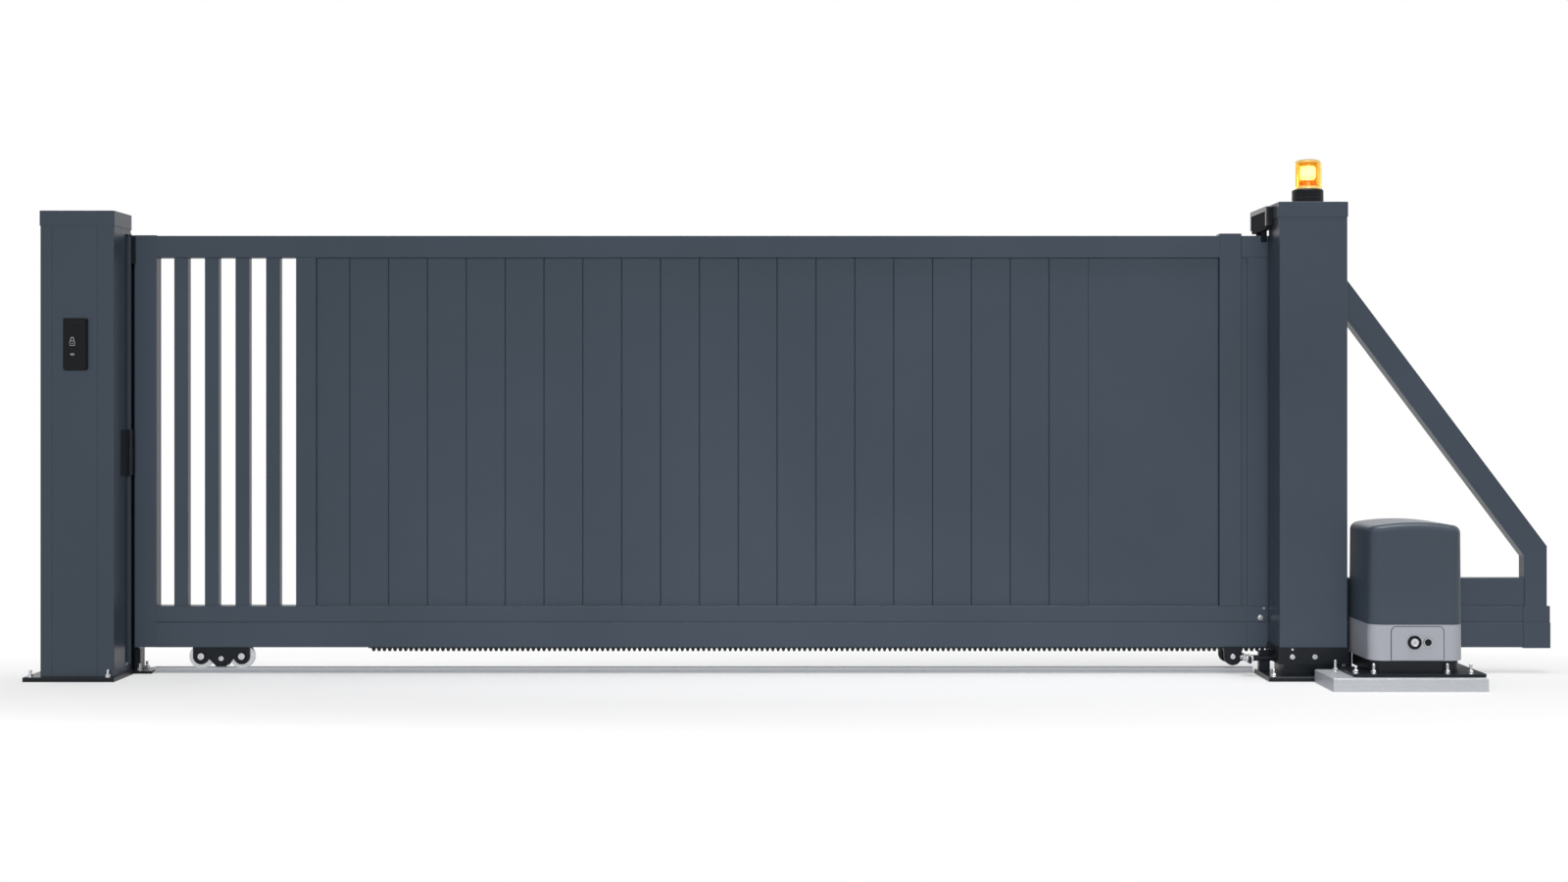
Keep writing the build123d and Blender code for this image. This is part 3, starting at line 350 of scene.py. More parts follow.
def hex_bolt(radius):
    """A hexagon head on a washer, seen from its end. Height 0 is the face that it sits on."""
    washer_top = radius * 0.2
    return joined([washer(radius * 1.3, -0.0005, washer_top), hex_prism(radius, washer_top, radius * 0.9)])


def cap_screw(radius, rise=0.8):
    """A round head with a round socket: the profile goes up the side, over the rim and down into the socket."""
    top = radius * rise
    rim, socket = radius * 0.86, top * 0.35
    return turned([(0.0, 0.0), (radius, 0.0), (radius, top * 0.75), (rim, top), (radius * 0.46, top),
                   (radius * 0.40, socket), (0.0, socket)], 24)


# Materials


def new_material(name, base, roughness, metallic=0.0, specular=0.5):
    """A principled material with its plain values on the shader itself."""
    material = bpy.data.materials.new(name)
    material.use_nodes = True
    shader = material.node_tree.nodes["Principled BSDF"]
    shader.inputs["Base Color"].default_value = (*base, 1.0)
    shader.inputs["Roughness"].default_value = roughness
    shader.inputs["Metallic"].default_value = metallic
    shader.inputs["Specular IOR Level"].default_value = specular
    return material, material.node_tree, shader


def pattern(tree, kind, scale, stretch=(1.0, 1.0, 1.0), **inputs):
    """A noise or cell pattern on the object's own coordinates."""
    place = tree.nodes.new("ShaderNodeTexCoord")
    mapping = tree.nodes.new("ShaderNodeMapping")
    mapping.inputs["Scale"].default_value = stretch
    texture = tree.nodes.new(kind)
    texture.inputs["Scale"].default_value = scale
    for key, value in inputs.items():
        texture.inputs[key.replace("_", " ")].default_value = value
    tree.links.new(place.outputs["Object"], mapping.inputs["Vector"])
    tree.links.new(mapping.outputs["Vector"], texture.inputs["Vector"])
    return texture


def ranged(tree, socket, low, high, start=0.3, end=0.7):
    """Brings a pattern between two values."""
    node = tree.nodes.new("ShaderNodeMapRange")
    node.inputs["From Min"].default_value = start
    node.inputs["From Max"].default_value = end
    node.inputs["To Min"].default_value = low
    node.inputs["To Max"].default_value = high
    tree.links.new(socket, node.inputs["Value"])
    return node.outputs["Result"]


def tinted(tree, socket, dark, light):
    """Mixes two colours by a pattern."""
    mix = tree.nodes.new("ShaderNodeMix")
    mix.data_type = "RGBA"
    mix.inputs["A"].default_value = (*dark, 1.0)
    mix.inputs["B"].default_value = (*light, 1.0)
    tree.links.new(socket, mix.inputs["Factor"])
    return mix.outputs["Result"]


def bumped(tree, shader, socket, distance):
    """Lets a pattern raise the surface."""
    bump = tree.nodes.new("ShaderNodeBump")
    bump.inputs["Distance"].default_value = distance
    tree.links.new(socket, bump.inputs["Height"])
    tree.links.new(bump.outputs["Normal"], shader.inputs["Normal"])


def distance_from(tree, centre):
    """How far a point is from a centre, on the object's own coordinates."""
    place = tree.nodes.new("ShaderNodeTexCoord")
    span = tree.nodes.new("ShaderNodeVectorMath")
    span.operation = "DISTANCE"
    span.inputs[1].default_value = centre
    tree.links.new(place.outputs["Object"], span.inputs[0])
    return span.outputs["Value"]


def scaled(base, factor):
    """A colour made lighter or darker, and kept under 1."""
    return tuple(min(channel * factor, 1.0) for channel in base)


def powder_coat(name, base, roughness, peel, specular=0.3):
    """A baked powder coat: fine orange peel, faint broad tone changes, satin gloss that varies a little."""
    material, tree, shader = new_material(name, base, roughness, 0.0, specular)
    broad = pattern(tree, "ShaderNodeTexNoise", 1.3, Detail=3.0)
    tone = tinted(tree, ranged(tree, broad.outputs["Fac"], 0.0, 1.0), scaled(base, 0.93), scaled(base, 1.08))
    tree.links.new(tone, shader.inputs["Base Color"])
    fine = pattern(tree, "ShaderNodeTexNoise", 420.0, Detail=2.0)
    gloss = ranged(tree, fine.outputs["Fac"], roughness - 0.05, roughness + 0.06)
    tree.links.new(gloss, shader.inputs["Roughness"])
    bumped(tree, shader, fine.outputs["Fac"], peel)
    return material


def moulded_plastic(name, base, roughness, grain, specular=0.35):
    """Moulded plastic with a fine cell grain."""
    material, tree, shader = new_material(name, base, roughness, 0.0, specular)
    cells = pattern(tree, "ShaderNodeTexVoronoi", 900.0)
    broad = pattern(tree, "ShaderNodeTexNoise", 2.3, Detail=2.0)
    tone = tinted(tree, ranged(tree, broad.outputs["Fac"], 0.0, 1.0, 0.2, 0.8), scaled(base, 0.95),
                  scaled(base, 1.05))
    tree.links.new(tone, shader.inputs["Base Color"])
    gloss = ranged(tree, broad.outputs["Fac"], roughness - 0.03, roughness + 0.04, 0.2, 0.8)
    tree.links.new(gloss, shader.inputs["Roughness"])
    bumped(tree, shader, cells.outputs["Distance"], grain)
    return material


def worked_metal(name, base, roughness, metallic, scale, stretch, spread):
    """Metal with a grain drawn out along the way it was worked, in tone, gloss and height."""
    material, tree, shader = new_material(name, base, roughness, metallic, 0.35)
    grain = pattern(tree, "ShaderNodeTexNoise", scale, stretch, Detail=4.0)
    tone = tinted(tree, ranged(tree, grain.outputs["Fac"], 0.0, 1.0), scaled(base, 1.0 - spread),
                  scaled(base, 1.0 + spread))
    tree.links.new(tone, shader.inputs["Base Color"])
    gloss = ranged(tree, grain.outputs["Fac"], roughness - 0.06, roughness + 0.08)
    tree.links.new(gloss, shader.inputs["Roughness"])
    bumped(tree, shader, grain.outputs["Fac"], 0.00004)
    return material


def clear_amber(name, base, bend):
    """A clear amber wall of the lamp, tinted by the light that passes it, with a faint moulded ripple."""
    material, tree, shader = new_material(name, base, 0.05)
    shader.inputs["Transmission Weight"].default_value = 1.0
    shader.inputs["IOR"].default_value = bend
    ripple = pattern(tree, "ShaderNodeTexNoise", 60.0, Detail=1.0)
    tone = tinted(tree, ranged(tree, ripple.outputs["Fac"], 0.0, 1.0), scaled(base, 0.95), base)
    tree.links.new(tone, shader.inputs["Base Color"])
    bumped(tree, shader, ripple.outputs["Fac"], 0.0001)
    return material


def lit_amber(name, base):
    """The reflector's deep amber moulding, with a painted glow: its own emission stands in for the light of the
    lamp over it.
    """
    material, tree, shader = new_material(name, base, 0.22)
    # painted glow: a faint emission in the reflector's own colour stands in for the lamp's light falling on it
    shader.inputs["Emission Strength"].default_value = 0.25
    ripple = pattern(tree, "ShaderNodeTexNoise", 90.0, (1.0, 1.0, 0.3), Detail=2.0)
    tone = tinted(tree, ranged(tree, ripple.outputs["Fac"], 0.0, 1.0), scaled(base, 0.8), base)
    tree.links.new(tone, shader.inputs["Base Color"])
    tree.links.new(tone, shader.inputs["Emission Color"])
    return material


def lit_block(name, base):
    """The lit block of the lamp: its light falls off from its middle to its edges."""
    material, tree, shader = new_material(name, base, 0.3)
    core, rim, edge = 0.027, 0.040, 0.042
    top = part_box("beacon_lamp")[1][2]
    away = distance_from(tree, (0.0, 0.0, top - 0.023))
    tone = tinted(tree, ranged(tree, away, 0.0, 1.0, core, rim), base, scaled(base, 0.55))
    tree.links.new(tone, shader.inputs["Base Color"])
    tree.links.new(tone, shader.inputs["Emission Color"])
    tree.links.new(ranged(tree, away, 6.0, 0.8, core, edge), shader.inputs["Emission Strength"])
    return material


class GATE_OT_finishes(bpy.types.Operator):
    """Gives every carried-over part its coat, metal or plastic"""
    bl_idname = "gate.finishes"
    bl_label = "Finishes"

    def execute(self, context):
        finish = context.scene.gate_finish
        drawn = (1.0, 9.0, 9.0)
        even = (1.0, 1.0, 1.0)
        dark = tuple(finish.dark_coat)
        plastic = tuple(finish.plastic)
        made = {
            "frame_paint": powder_coat("anthracite_coat", tuple(finish.coat), roughness=0.32, peel=0.00004,
                                       specular=0.22),
            "dark_paint": powder_coat("dark_coat", dark, roughness=0.30, peel=0.00003, specular=0.22),
            "black_plastic": moulded_plastic("black_plastic", plastic, roughness=0.30, grain=0.00002,
                                             specular=0.12),
            "nylon": moulded_plastic("turned_nylon", plastic, roughness=0.70, grain=0.00001, specular=0.05),
            "amber_lens": clear_amber("clear_amber", tuple(finish.amber), bend=1.2),
            "lamp": lit_block("lit_block", tuple(finish.glow)),
            "galvanised": worked_metal("drawn_galvanised", tuple(finish.galvanised), roughness=0.42,
                                       metallic=0.2, scale=70.0, stretch=drawn, spread=0.10),
            "cast_housing": worked_metal("cast_housing", tuple(finish.casting), roughness=0.40, metallic=0.2,
                                         scale=420.0, stretch=even, spread=0.05),
            "hood": moulded_plastic("hood_moulding", tuple(finish.hood), roughness=0.30, grain=0.00002,
                                    specular=0.25),
            "bright_metal": worked_metal("zinc_plate", tuple(finish.zinc), roughness=0.26, metallic=0.85,
                                         scale=180.0, stretch=even, spread=0.06),
        }
        clear_amber("inner_amber", tuple(finish.inner_amber), bend=1.08)
        # the reflector's material, with a painted glow of the lamp's light
        lit_amber("deep_amber", tuple(finish.deep_amber))
        moulded_plastic("printed_mark", tuple(finish.mark), roughness=0.5, grain=0.00001)
        powder_coat("blackened", scaled(dark, 0.45), roughness=0.5, peel=0.00002, specular=0.2)
        gloss = powder_coat("gloss_black", scaled(dark, 0.7), roughness=0.16, peel=0.00001, specular=0.5)
        satin = powder_coat("satin_black", scaled(dark, 1.2), roughness=0.30, peel=0.00002, specular=0.15)
        for name, node in NODES.items():
            node.data.materials.clear()
            node.data.materials.append(made[SLOTS[name]])
        for name, finish_of_its_own in (
            ("top_guide_portal", gloss), ("bogie_frame", satin), ("carriage_frame", satin),
            ("key_lock", made["black_plastic"]),
        ):
            NODES[name].data.materials[0] = finish_of_its_own
        return {"FINISHED"}


def anchor_places(mount):
    """The four places of a rectangular bolt pattern: its middle plus and minus half the spacing each way."""
    x, y = mount["pos_m"][:2]
    half_x = mount["dims"]["spacing_x_mm"] / 2000.0
    half_y = mount["dims"]["spacing_y_mm"] / 2000.0
    return [(x + side * half_x, y + end * half_y) for side in (-1, 1) for end in (-1, 1)]


class GATE_OT_anchors(bpy.types.Operator):
    """Threaded anchors with washers and nuts, in the feet of the posts, the column and the drive unit"""
    bl_idname = "gate.anchors"
    bl_label = "Anchors"

    def execute(self, context):
        detail = context.scene.gate_detail
        radius, rise, pitch = detail.anchor_radius, detail.anchor_rise, detail.thread_pitch
        plate_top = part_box("catch_post_base")[1][2]
        through = anchor(radius, rise, plate_top - 0.001, pitch)
        for mount, name in (("drive_anchors", "drive_post_anchors"), ("catch_anchors", "catch_post_anchors")):
            shapes = [moved(through, (x, y, plate_top)) for x, y in anchor_places(MOUNTS[mount])]
            make_piece(name, joined(shapes), "fixed", "zinc_plate", CRISP)

        shallow, deep = 0.008, 0.010
        low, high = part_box("catch_foot")
        x, edge = high[0] - 0.046, 0.015
        foot = anchor(radius, rise, shallow, pitch)
        shapes = [moved(foot, (x, y, FOOT_PLATE)) for y in (low[1] + edge, high[1] - edge)]
        make_piece("column_foot_anchors", joined(shapes), "fixed", "zinc_plate", CRISP)

        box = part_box("motor_base")
        slab_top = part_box("motor_slab")[1][2]
        rise, from_left, y = SLAB_ANCHOR
        shapes = [moved(anchor(radius, rise, deep, pitch), (box[LEFT][0] + from_left, y, slab_top))]
        for rise, side, x, end, y in UNIT_ANCHORS:
            place = (box[side][0] + x, box[end][1] + y, slab_top + FOOT_PLATE)
            shapes.append(moved(anchor(radius, rise, shallow, pitch), place))
        make_piece("drive_unit_anchors", joined(shapes), "fixed", "zinc_plate", CRISP)
        return {"FINISHED"}


class GATE_OT_bolts(bpy.types.Operator):
    """Axle heads of the bogie, bolts of the support carriage, its tie nuts and the collar's bolts"""
    bl_idname = "gate.bolts"
    bl_label = "Bolts"

    def execute(self, context):
        detail = context.scene.gate_detail
        small = cap_screw(detail.cover_bolt, 0.5)
        self.bogie(detail.axle_head, small)
        self.carriage(small, detail.thread_pitch)
        self.collar(cap_screw(detail.cover_bolt, 0.4))
        self.stop()
        return {"FINISHED"}

    def bogie(self, radius, small):
        """Axle heads on both plates of the bogie, a raised ring round each, and the bolt between them."""
        low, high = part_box("bogie_frame")
        middle = middle_of("bogie_frame")[0]
        wheels = [middle_of("bogie_wheel_front"), middle_of("bogie_wheel_rear")]
        axle_z = wheels[0][2]
        head = cap_screw(radius, 0.45)
        rise = 0.0012
        ring = turned([(radius * 1.45, 0.0), (radius * 1.4, rise), (radius, rise), (radius, 0.0)], 24, True)
        bright = []
        dark = []
        for axis, face in (("-Y", low[1]), ("+Y", high[1])):
            bright += [moved(pointed(head, axis), (wheel[0], face, axle_z)) for wheel in wheels]
            bright.append(moved(pointed(small, axis), (middle, face, low[2] + 0.028)))
            dark += [moved(pointed(ring, axis), (wheel[0], face, axle_z)) for wheel in wheels]
        make_piece("bogie_axle_heads", joined(bright), "leaf", "zinc_plate", CRISP)
        make_piece("bogie_axle_collars", joined(dark), "leaf", "blackened", CRISP)

    def carriage(self, small, pitch):
        """Bolts through the support carriage's cheeks, and the tie rods' nuts at either side of the crossbar."""
        x, _, z = middle_of("support_roller")
        near_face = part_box("track_beam")[0][1] - CHEEK_GAP - CHEEK
        far_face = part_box("carriage_frame")[1][1]
        shapes = [moved(pointed(small, "-Y"), (x, near_face, z)), moved(pointed(small, "+Y"), (x, far_face, z))]
        make_piece("carriage_bolts", joined(shapes), "fixed", "zinc_plate", CRISP)
        nut = hex_prism(0.0125, 0.0, 0.0095)
        end = stud(0.0078, 0.0, 0.020, pitch)
        far_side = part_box("drive_post")[0][0] - CROSSBAR_REACH
        ties = []
        for y in TIES_BACK:
            ties.append(moved(pointed(nut, "+X"), (far_side + CHEEK, y, z)))
            ties.append(moved(pointed(nut, "-X"), (far_side, y, z)))
            ties.append(moved(pointed(end, "-X"), (far_side, y, z)))
        make_piece("tie_nuts", joined(ties), "fixed", "zinc_plate", CRISP)

    def collar(self, button):
        """Bolts and small screws in the front and the left side of the drive post's collar."""
        left, front = (side - COLLAR_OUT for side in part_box("drive_post")[0][:2])
        shapes = [moved(pointed(button, "-Y"), (x, front, COLLAR_BOLTS_Z)) for x in COLLAR_BOLTS_X]
        x, z = COLLAR_SCREW
        shapes.append(moved(pointed(cap_screw(0.004, 0.5), "-Y"), (x, front, z)))
        make_piece("collar_bolts", joined(shapes), "fixed", "zinc_plate", CRISP)
        shapes = [moved(pointed(hex_bolt(0.0085), "-X"), (left, y, z)) for y, z in COLLAR_SIDE_BOLTS]
        shapes += [moved(pointed(cap_screw(0.003, 0.3), "-Y"), (x, front, COLLAR_PINS_Z)) for x in COLLAR_PINS_X]
        make_piece("collar_side_bolts", joined(shapes), "fixed", "blackened", CRISP)

    def stop(self):
        """The bolt and the screw of the stop on the leaf's bottom rail."""
        beam_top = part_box("track_beam")[1][2]
        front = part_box("bottom_rail")[0][1]
        shapes = [moved(pointed(shape, "-Y"), (x, front, beam_top + rise))
                  for shape, (x, rise) in ((hex_bolt(0.0075), STOP_BOLT), (cap_screw(0.0045), STOP_SCREW))]
        make_piece("rail_stop_bolts", joined(shapes), "leaf", "zinc_plate", CRISP)


class GATE_OT_plugs(bpy.types.Operator):
    """Moulded plugs in the open ends of the leaf's tubes"""
    bl_idname = "gate.plugs"
    bl_label = "End plugs"

    def execute(self, context):
        inset, depth, rise = 0.0005, 0.0100, 0.0020
        shapes = []
        for node in ("leading_stile", "rear_stile"):
            low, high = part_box(node)
            shapes.append(block_shape((low[0] + inset, low[1] + inset, high[2] - depth),
                                      (high[0] - inset, high[1] - inset, high[2] + rise), 0.0015))
        make_piece("stile_plugs", joined(shapes), "leaf", "black_plastic")
        return {"FINISHED"}


class GATE_OT_reader(bpy.types.Operator):
    """Padlock and arc symbols on the reader, and the dark window in its groove"""
    bl_idname = "gate.reader"
    bl_label = "Reader face"

    def execute(self, context):
        low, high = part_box("access_reader")
        face = low[1]
        x = low[0] + 0.0325
        z = high[2] - 0.0805
        line, raised = 0.0014, 0.0002
        half, body_low, body_high = 0.0080, z - 0.0145, z + 0.0010
        body = [(x - half, body_low), (x + half, body_low), (x + half, body_high), (x - half, body_high)]
        bow, bow_low, bow_high = 0.0052, z + 0.0020, z + 0.0085
        shackle = np.vstack([[(x - bow, bow_low)], arc((x, bow_high), bow, 180.0, 0.0, 13), [(x + bow, bow_low)]])
        wave = (x, z - 0.0520)
        shapes = [
            ribbon(body, line, raised, True),
            ribbon(shackle, line, raised),
            ribbon([(x, z - 0.0095), (x, z - 0.0045)], line, raised),
            ribbon(arc(wave, 0.0095, 140.0, 40.0, 13), line, raised),
            ribbon(arc(wave, 0.0055, 140.0, 40.0, 9), line, raised),
        ]
        make_piece("reader_symbols", moved(joined(shapes), (0.0, face, 0.0)), "fixed", "printed_mark")
        edge, top = 0.0070, high[2] - 0.0140
        window = block_shape((low[0] + edge, face + 0.0010, top - 0.0020), (high[0] - edge, face + 0.0025, top),
                             0.0003)
        make_piece("reader_window", window, "fixed", "black_plastic")
        return {"FINISHED"}


def lock_outline(left, right, left_radius, right_radius, steps):
    """The outline round two circles side by side: each circle's outer arc, joined by their common tangents, which
    meet both circles at the angle whose cosine is the difference of the radii over the distance."""
    span = right[0] - left[0]
    tilt = math.degrees(math.acos((left_radius - right_radius) / span))
    return np.vstack([arc(left, left_radius, 360.0 - tilt, tilt, steps),
                      arc(right, right_radius, tilt, -tilt, steps)])


class GATE_OT_lock(bpy.types.Operator):
    """Silver disc with a keyhole in the lock, the round plug beside it, and the raised line round both"""
    bl_idname = "gate.lock"
    bl_label = "Key lock"

    def execute(self, context):
        detail = context.scene.gate_detail
        low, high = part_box("key_lock")
        door_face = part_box("release_door")[0][1]
        x = low[0] + 0.023
        z = (low[2] + high[2]) / 2.0
        plug_x = high[0] - 0.015
        floor = low[1] + 0.003
        plug_face = high[1] - 0.0035
        disc, step, top, back = detail.lock_face, 0.0018, 0.0026, -0.0005
        face = turned([(0.0, back), (disc, back), (disc, step), (disc - 0.0008, top), (disc - 0.0024, top),
                       (disc - 0.0030, step), (0.0048, step), (0.0042, 0.0022), (0.0, 0.0022)], 40)
        ring = 0.0012
        rim = turned([(0.0146, 0.0), (0.0142, ring), (0.0122, ring), (0.0116, 0.0)], 40, True)
        silver = [moved(pointed(face, "-Y"), (x, floor, z)), moved(pointed(rim, "-Y"), (plug_x, plug_face, z))]
        make_piece("lock_faces", joined(silver), "release_door", "zinc_plate", CRISP)
        keyhole = ribbon([(x, z - 0.0042), (x, z + 0.0042)], 0.0018, 0.0002)
        plug = turned([(0.0, -0.0002), (0.0088, -0.0002), (0.0084, 0.0008), (0.0030, 0.0012), (0.0, 0.0004)], 32)
        openings = [moved(keyhole, (0.0, floor - 0.0022, 0.0)), moved(pointed(plug, "-Y"), (plug_x, plug_face, z))]
        make_piece("lock_openings", joined(openings), "release_door", "blackened", CRISP)
        path = lock_outline((x, z), (plug_x, z), 0.0275, 0.0195, 40)
        line = moved(ribbon(path, detail.outline, 0.0006, True), (0.0, door_face, 0.0))
        make_piece("lock_outline", line, "release_door", "cast_housing", CRISP)
        return {"FINISHED"}


class GATE_OT_seal(bpy.types.Operator):
    """Dark seal round the release door, and the bracket that ties the drive unit to the post's plate"""
    bl_idname = "gate.seal"
    bl_label = "Door seal and bracket"

    def execute(self, context):
        low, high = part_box("release_door")
        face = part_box("motor_gearbox")[0][1]
        seal = 0.0016
        x0, x1, top = low[0] - seal, high[0] + seal, high[2] + seal
        bend = DOOR_CORNER + seal
        path = np.vstack([
            [(x0, low[2])], arc((x0 + bend, top - bend), bend, 180.0, 90.0, 12),
            arc((x1 - bend, top - bend), bend, 90.0, 0.0, 12), [(x1, low[2])],
        ])
        make_piece("door_seal", moved(ribbon(path, seal, 0.0002), (0.0, face, 0.0)), "fixed", "blackened")
        plate_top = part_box("catch_post_base")[1][2]
        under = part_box("motor_gearbox")[0][2]
        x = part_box("drive_post")[1][0] + COLLAR_OUT + 0.0008
        bracket = block_shape((x, -0.0400, plate_top - 0.0005), (x + 0.0210, -0.0100, under - 0.0025))
        make_piece("unit_bracket", bracket, "fixed", "dark_coat")
        return {"FINISHED"}


class GATE_OT_beacon(bpy.types.Operator):
    """Fluted inner lens and the raised reflector round the stem of the flashing lamp, and the joint of its foot"""
    bl_idname = "gate.beacon"
    bl_label = "Flashing lamp"

    def execute(self, context):
        detail = context.scene.gate_detail
        low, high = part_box("beacon_lens")
        foot = low[2] + 0.0101
        top = high[2] - 0.0095
        flutes = detail.lens_flutes
        inside, outside = 0.0338, 0.0360
        inner = turned([(0.0, top - 0.0022), (0.0300, top - 0.0022), (inside, top - 0.0055), (inside, foot),
                        (outside, foot), (outside, top - 0.0050), (0.0315, top), (0.0, top)],
                       flutes * 8, False, flutes, 0.012)
        make_piece("beacon_inner_lens", inner, "fixed", "inner_amber", MOULDED)
        mound = turned([(0.0322, foot), (0.0318, foot + 0.011), (0.0285, foot + 0.019), (0.0245, foot + 0.0215),
                        (0.0205, foot + 0.018), (0.0175, foot + 0.010), (0.0172, foot)], 48, True)
        make_piece("beacon_reflector", mound, "fixed", "deep_amber", MOULDED)
        low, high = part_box("beacon_base")
        sunk, proud = high[0] - 0.0010, high[0] + 0.0004
        z = low[2] + 0.019
        joint = turned([(sunk, z - 0.0011), (proud, z - 0.0007), (proud, z + 0.0007), (sunk, z + 0.0011)],
                       72, True)
        make_piece("beacon_foot_joint", joint, "fixed", "black_plastic", MOULDED)
        return {"FINISHED"}


class GATE_OT_stage(bpy.types.Operator):
    """Plain pale floor, soft light and the camera at the photo's angle"""
    bl_idname = "gate.stage"
    bl_label = "Stage"

    def execute(self, context):
        stage = context.scene.gate_stage
        camera = bpy.data.cameras.new("gate_camera")
        camera.lens = stage.lens
        camera.sensor_width = 36.0
        camera.shift_y = stage.shift
        camera.clip_end = 200.0
        viewer = bpy.data.objects.new("gate_camera", camera)
        context.scene.collection.objects.link(viewer)
        viewer.location = stage.place
        viewer.rotation_euler = (math.pi / 2.0, 0.0, 0.0)
        context.scene.camera = viewer
        context.scene.view_settings.view_transform = "Standard"
        add_floor(tuple(stage.floor), stage.floor_glow)
        add_world(stage.fill)
        for name, place, size, setting, mirrored, spread in LAMPS:
            add_lamp(name, place, size, getattr(stage, setting), mirrored, spread)
        return {"FINISHED"}


def seen_directly(tree):
    """1 for rays from the camera, a mirror or glass, and 0 for light falling on things."""
    path = tree.nodes.new("ShaderNodeLightPath")
    seen = path.outputs["Is Camera Ray"]
    for name in ("Is Glossy Ray", "Is Transmission Ray"):
        larger = tree.nodes.new("ShaderNodeMath")
        larger.operation = "MAXIMUM"
        tree.links.new(seen, larger.inputs[0])
        tree.links.new(path.outputs[name], larger.inputs[1])
        seen = larger.outputs[0]
    return seen


def glow(tree, shade):
    """A light of the floor's own that shows and lights nothing: its strength is the shade where it is seen."""
    times = tree.nodes.new("ShaderNodeMath")
    times.operation = "MULTIPLY"
    times.inputs[1].default_value = shade
    tree.links.new(seen_directly(tree), times.inputs[0])
    light = tree.nodes.new("ShaderNodeEmission")
    tree.links.new(times.outputs[0], light.inputs["Strength"])
    return light.outputs[0]


def add_floor(base, shade):
    """A wide pale floor: a shaded white round the gate, which runs out into plain white away from it. The run
    follows the distance from the gate's middle, counted in run lengths along the gate and run depths across it."""
    reach, cells = 40.0, 8
    run_length, run_depth = 4.2, 1.1
    middle_x, middle_y = -1.77, -0.12
    side = np.linspace(-reach, reach, cells + 1)
    x, y = np.meshgrid(side, side, indexing="ij")
    points = np.stack([x, y, np.full(x.shape, -0.0005)], axis=-1).reshape(-1, 3)
    row = np.arange(cells)[:, None] * (cells + 1) + np.arange(cells)
    faces = np.stack([row, row + cells + 1, row + cells + 2, row + 1], axis=-1).reshape(-1, 4)
    mesh = bpy.data.meshes.new("floor")
    mesh.from_pydata(points.tolist(), [], faces.tolist())
    floor = bpy.data.objects.new("floor", mesh)
    bpy.context.scene.collection.objects.link(floor)
    material = bpy.data.materials.new("pale_floor")
    material.use_nodes = True
    tree = material.node_tree
    tree.nodes.clear()
    out = tree.nodes.new("ShaderNodeOutputMaterial")
    diffuse = tree.nodes.new("ShaderNodeBsdfDiffuse")
    diffuse.inputs["Color"].default_value = (*base, 1.0)
    shaded = tree.nodes.new("ShaderNodeAddShader")
    tree.links.new(diffuse.outputs[0], shaded.inputs[0])
    tree.links.new(glow(tree, shade), shaded.inputs[1])
    place = tree.nodes.new("ShaderNodeTexCoord")
    mapping = tree.nodes.new("ShaderNodeMapping")
    mapping.inputs["Location"].default_value = (-middle_x / run_length, -middle_y / run_depth, 0.0)
    mapping.inputs["Scale"].default_value = (1.0 / run_length, 1.0 / run_depth, 0.0)
    tree.links.new(place.outputs["Object"], mapping.inputs["Vector"])
    away = tree.nodes.new("ShaderNodeVectorMath")
    away.operation = "LENGTH"
    tree.links.new(mapping.outputs["Vector"], away.inputs[0])
    mix = tree.nodes.new("ShaderNodeMixShader")
    tree.links.new(ranged(tree, away.outputs["Value"], 0.0, 1.0, 0.45, 1.0), mix.inputs["Fac"])
    tree.links.new(shaded.outputs[0], mix.inputs[1])
    tree.links.new(glow(tree, 1.0), mix.inputs[2])
    tree.links.new(mix.outputs[0], out.inputs["Surface"])
    mesh.materials.append(material)


def add_world(fill):
    """White where it is seen, and an even grey light where it falls on things."""
    world = bpy.data.worlds.new("studio")
    bpy.context.scene.world = world
    world.use_nodes = True
    tree = world.node_tree
    tree.nodes.clear()
    out = tree.nodes.new("ShaderNodeOutputWorld")
    seen = tree.nodes.new("ShaderNodeBackground")
    seen.inputs["Color"].default_value = (1.0, 1.0, 1.0, 1.0)
    soft = tree.nodes.new("ShaderNodeBackground")
    soft.inputs["Color"].default_value = (0.97, 0.985, 1.0, 1.0)
    soft.inputs["Strength"].default_value = fill
    mix = tree.nodes.new("ShaderNodeMixShader")
    tree.links.new(seen_directly(tree), mix.inputs["Fac"])
    tree.links.new(soft.outputs[0], mix.inputs[1])
    tree.links.new(seen.outputs[0], mix.inputs[2])
    tree.links.new(mix.outputs[0], out.inputs["Surface"])


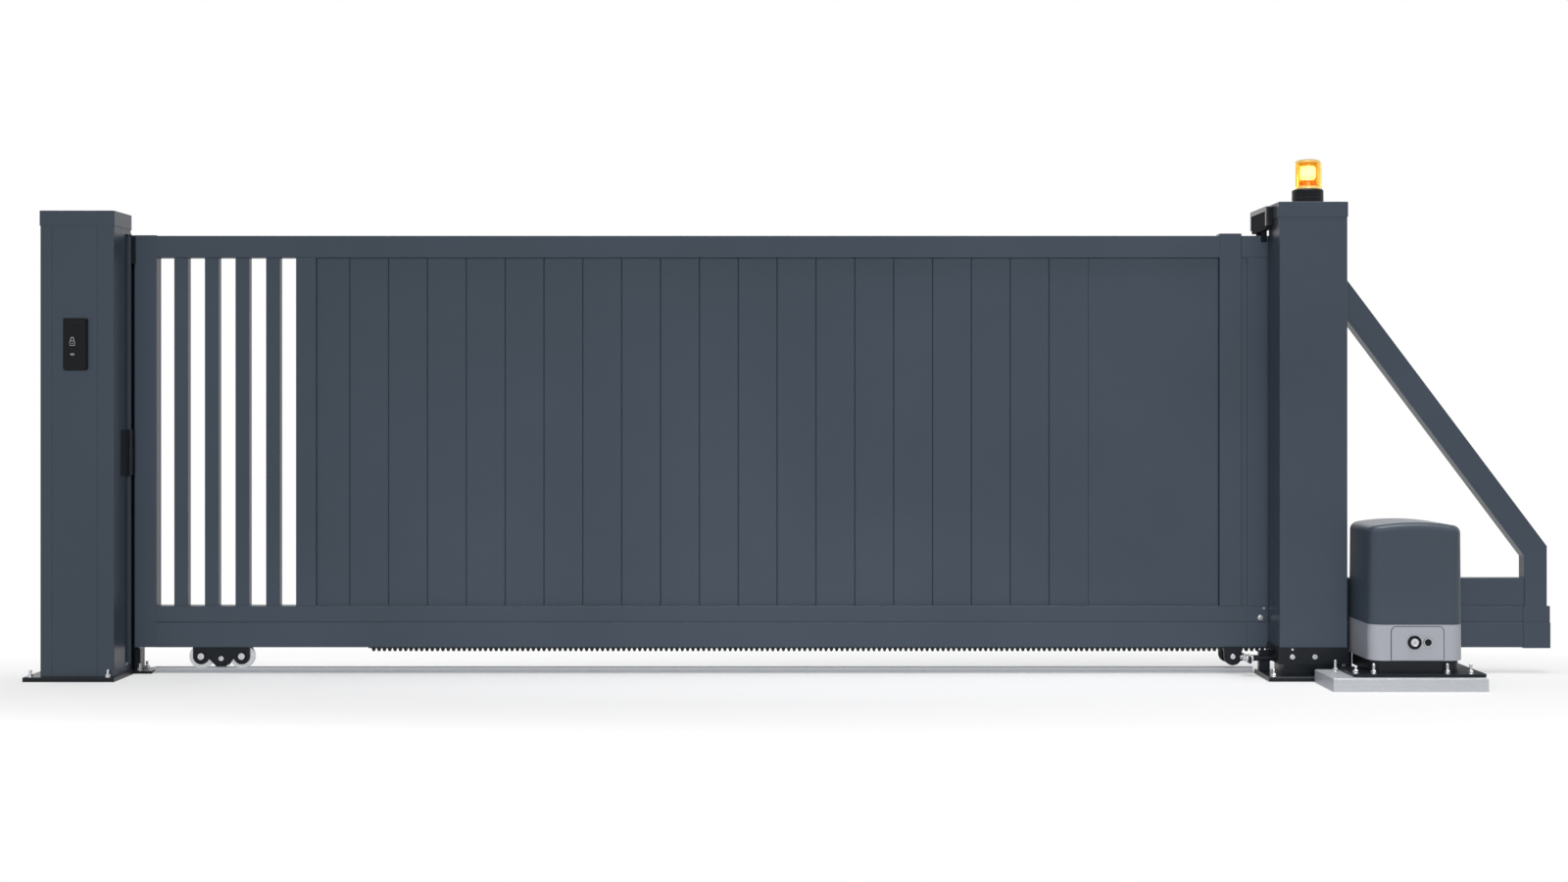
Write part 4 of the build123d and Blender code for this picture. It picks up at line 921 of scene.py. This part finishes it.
def add_lamp(name, place, size, power, mirrored, spread):
    """A large soft lamp that looks at the middle of the gate: it tips by the angle between straight down and the
    way to the middle, and turns to face it. Its light keeps within the spread."""
    light = bpy.data.lights.new(name, "AREA")
    light.shape = "RECTANGLE"
    light.size, light.size_y = size
    light.energy = power
    light.spread = math.radians(spread)
    lamp = bpy.data.objects.new(name, light)
    bpy.context.scene.collection.objects.link(lamp)
    x, y, z = np.array(place) - np.array(GATE_MIDDLE)
    lamp.location = place
    lamp.rotation_euler = (math.atan2(math.hypot(x, y), z), 0.0, math.atan2(x, -y))
    lamp.visible_camera = False
    lamp.visible_glossy = mirrored


class GATE_PT_panel(bpy.types.Panel):
    """Lists the gate's steps"""
    bl_idname = "GATE_PT_panel"
    bl_label = "Sliding gate"
    bl_space_type = "VIEW_3D"
    bl_region_type = "UI"
    bl_category = "Gate"

    def draw(self, context):
        for operator in OPERATORS:
            self.layout.operator(operator.bl_idname)


OPERATORS = (
    GATE_OT_stage, GATE_OT_finishes, GATE_OT_anchors, GATE_OT_bolts, GATE_OT_plugs, GATE_OT_reader, GATE_OT_lock,
    GATE_OT_seal, GATE_OT_beacon,
)
SETTINGS = (
    ("gate_finish", GateFinishSettings),
    ("gate_detail", GateDetailSettings),
    ("gate_stage", GateStageSettings),
)


def register():
    """Makes the settings, the operators and the panel known to Blender."""
    for name, group in SETTINGS:
        bpy.utils.register_class(group)
        setattr(bpy.types.Scene, name, PointerProperty(type=group))
    for operator in OPERATORS:
        bpy.utils.register_class(operator)
    bpy.utils.register_class(GATE_PT_panel)


def unregister():
    """Takes away what register made, the other way round."""
    bpy.utils.unregister_class(GATE_PT_panel)
    for operator in reversed(OPERATORS):
        bpy.utils.unregister_class(operator)
    for name, group in reversed(SETTINGS):
        delattr(bpy.types.Scene, name)
        bpy.utils.unregister_class(group)


def main():
    """Builds the gate's dressing."""
    register()
    for operator in OPERATORS:
        family, name = operator.bl_idname.split(".")
        getattr(getattr(bpy.ops, family), name)()


if __name__ == "__main__":
    main()
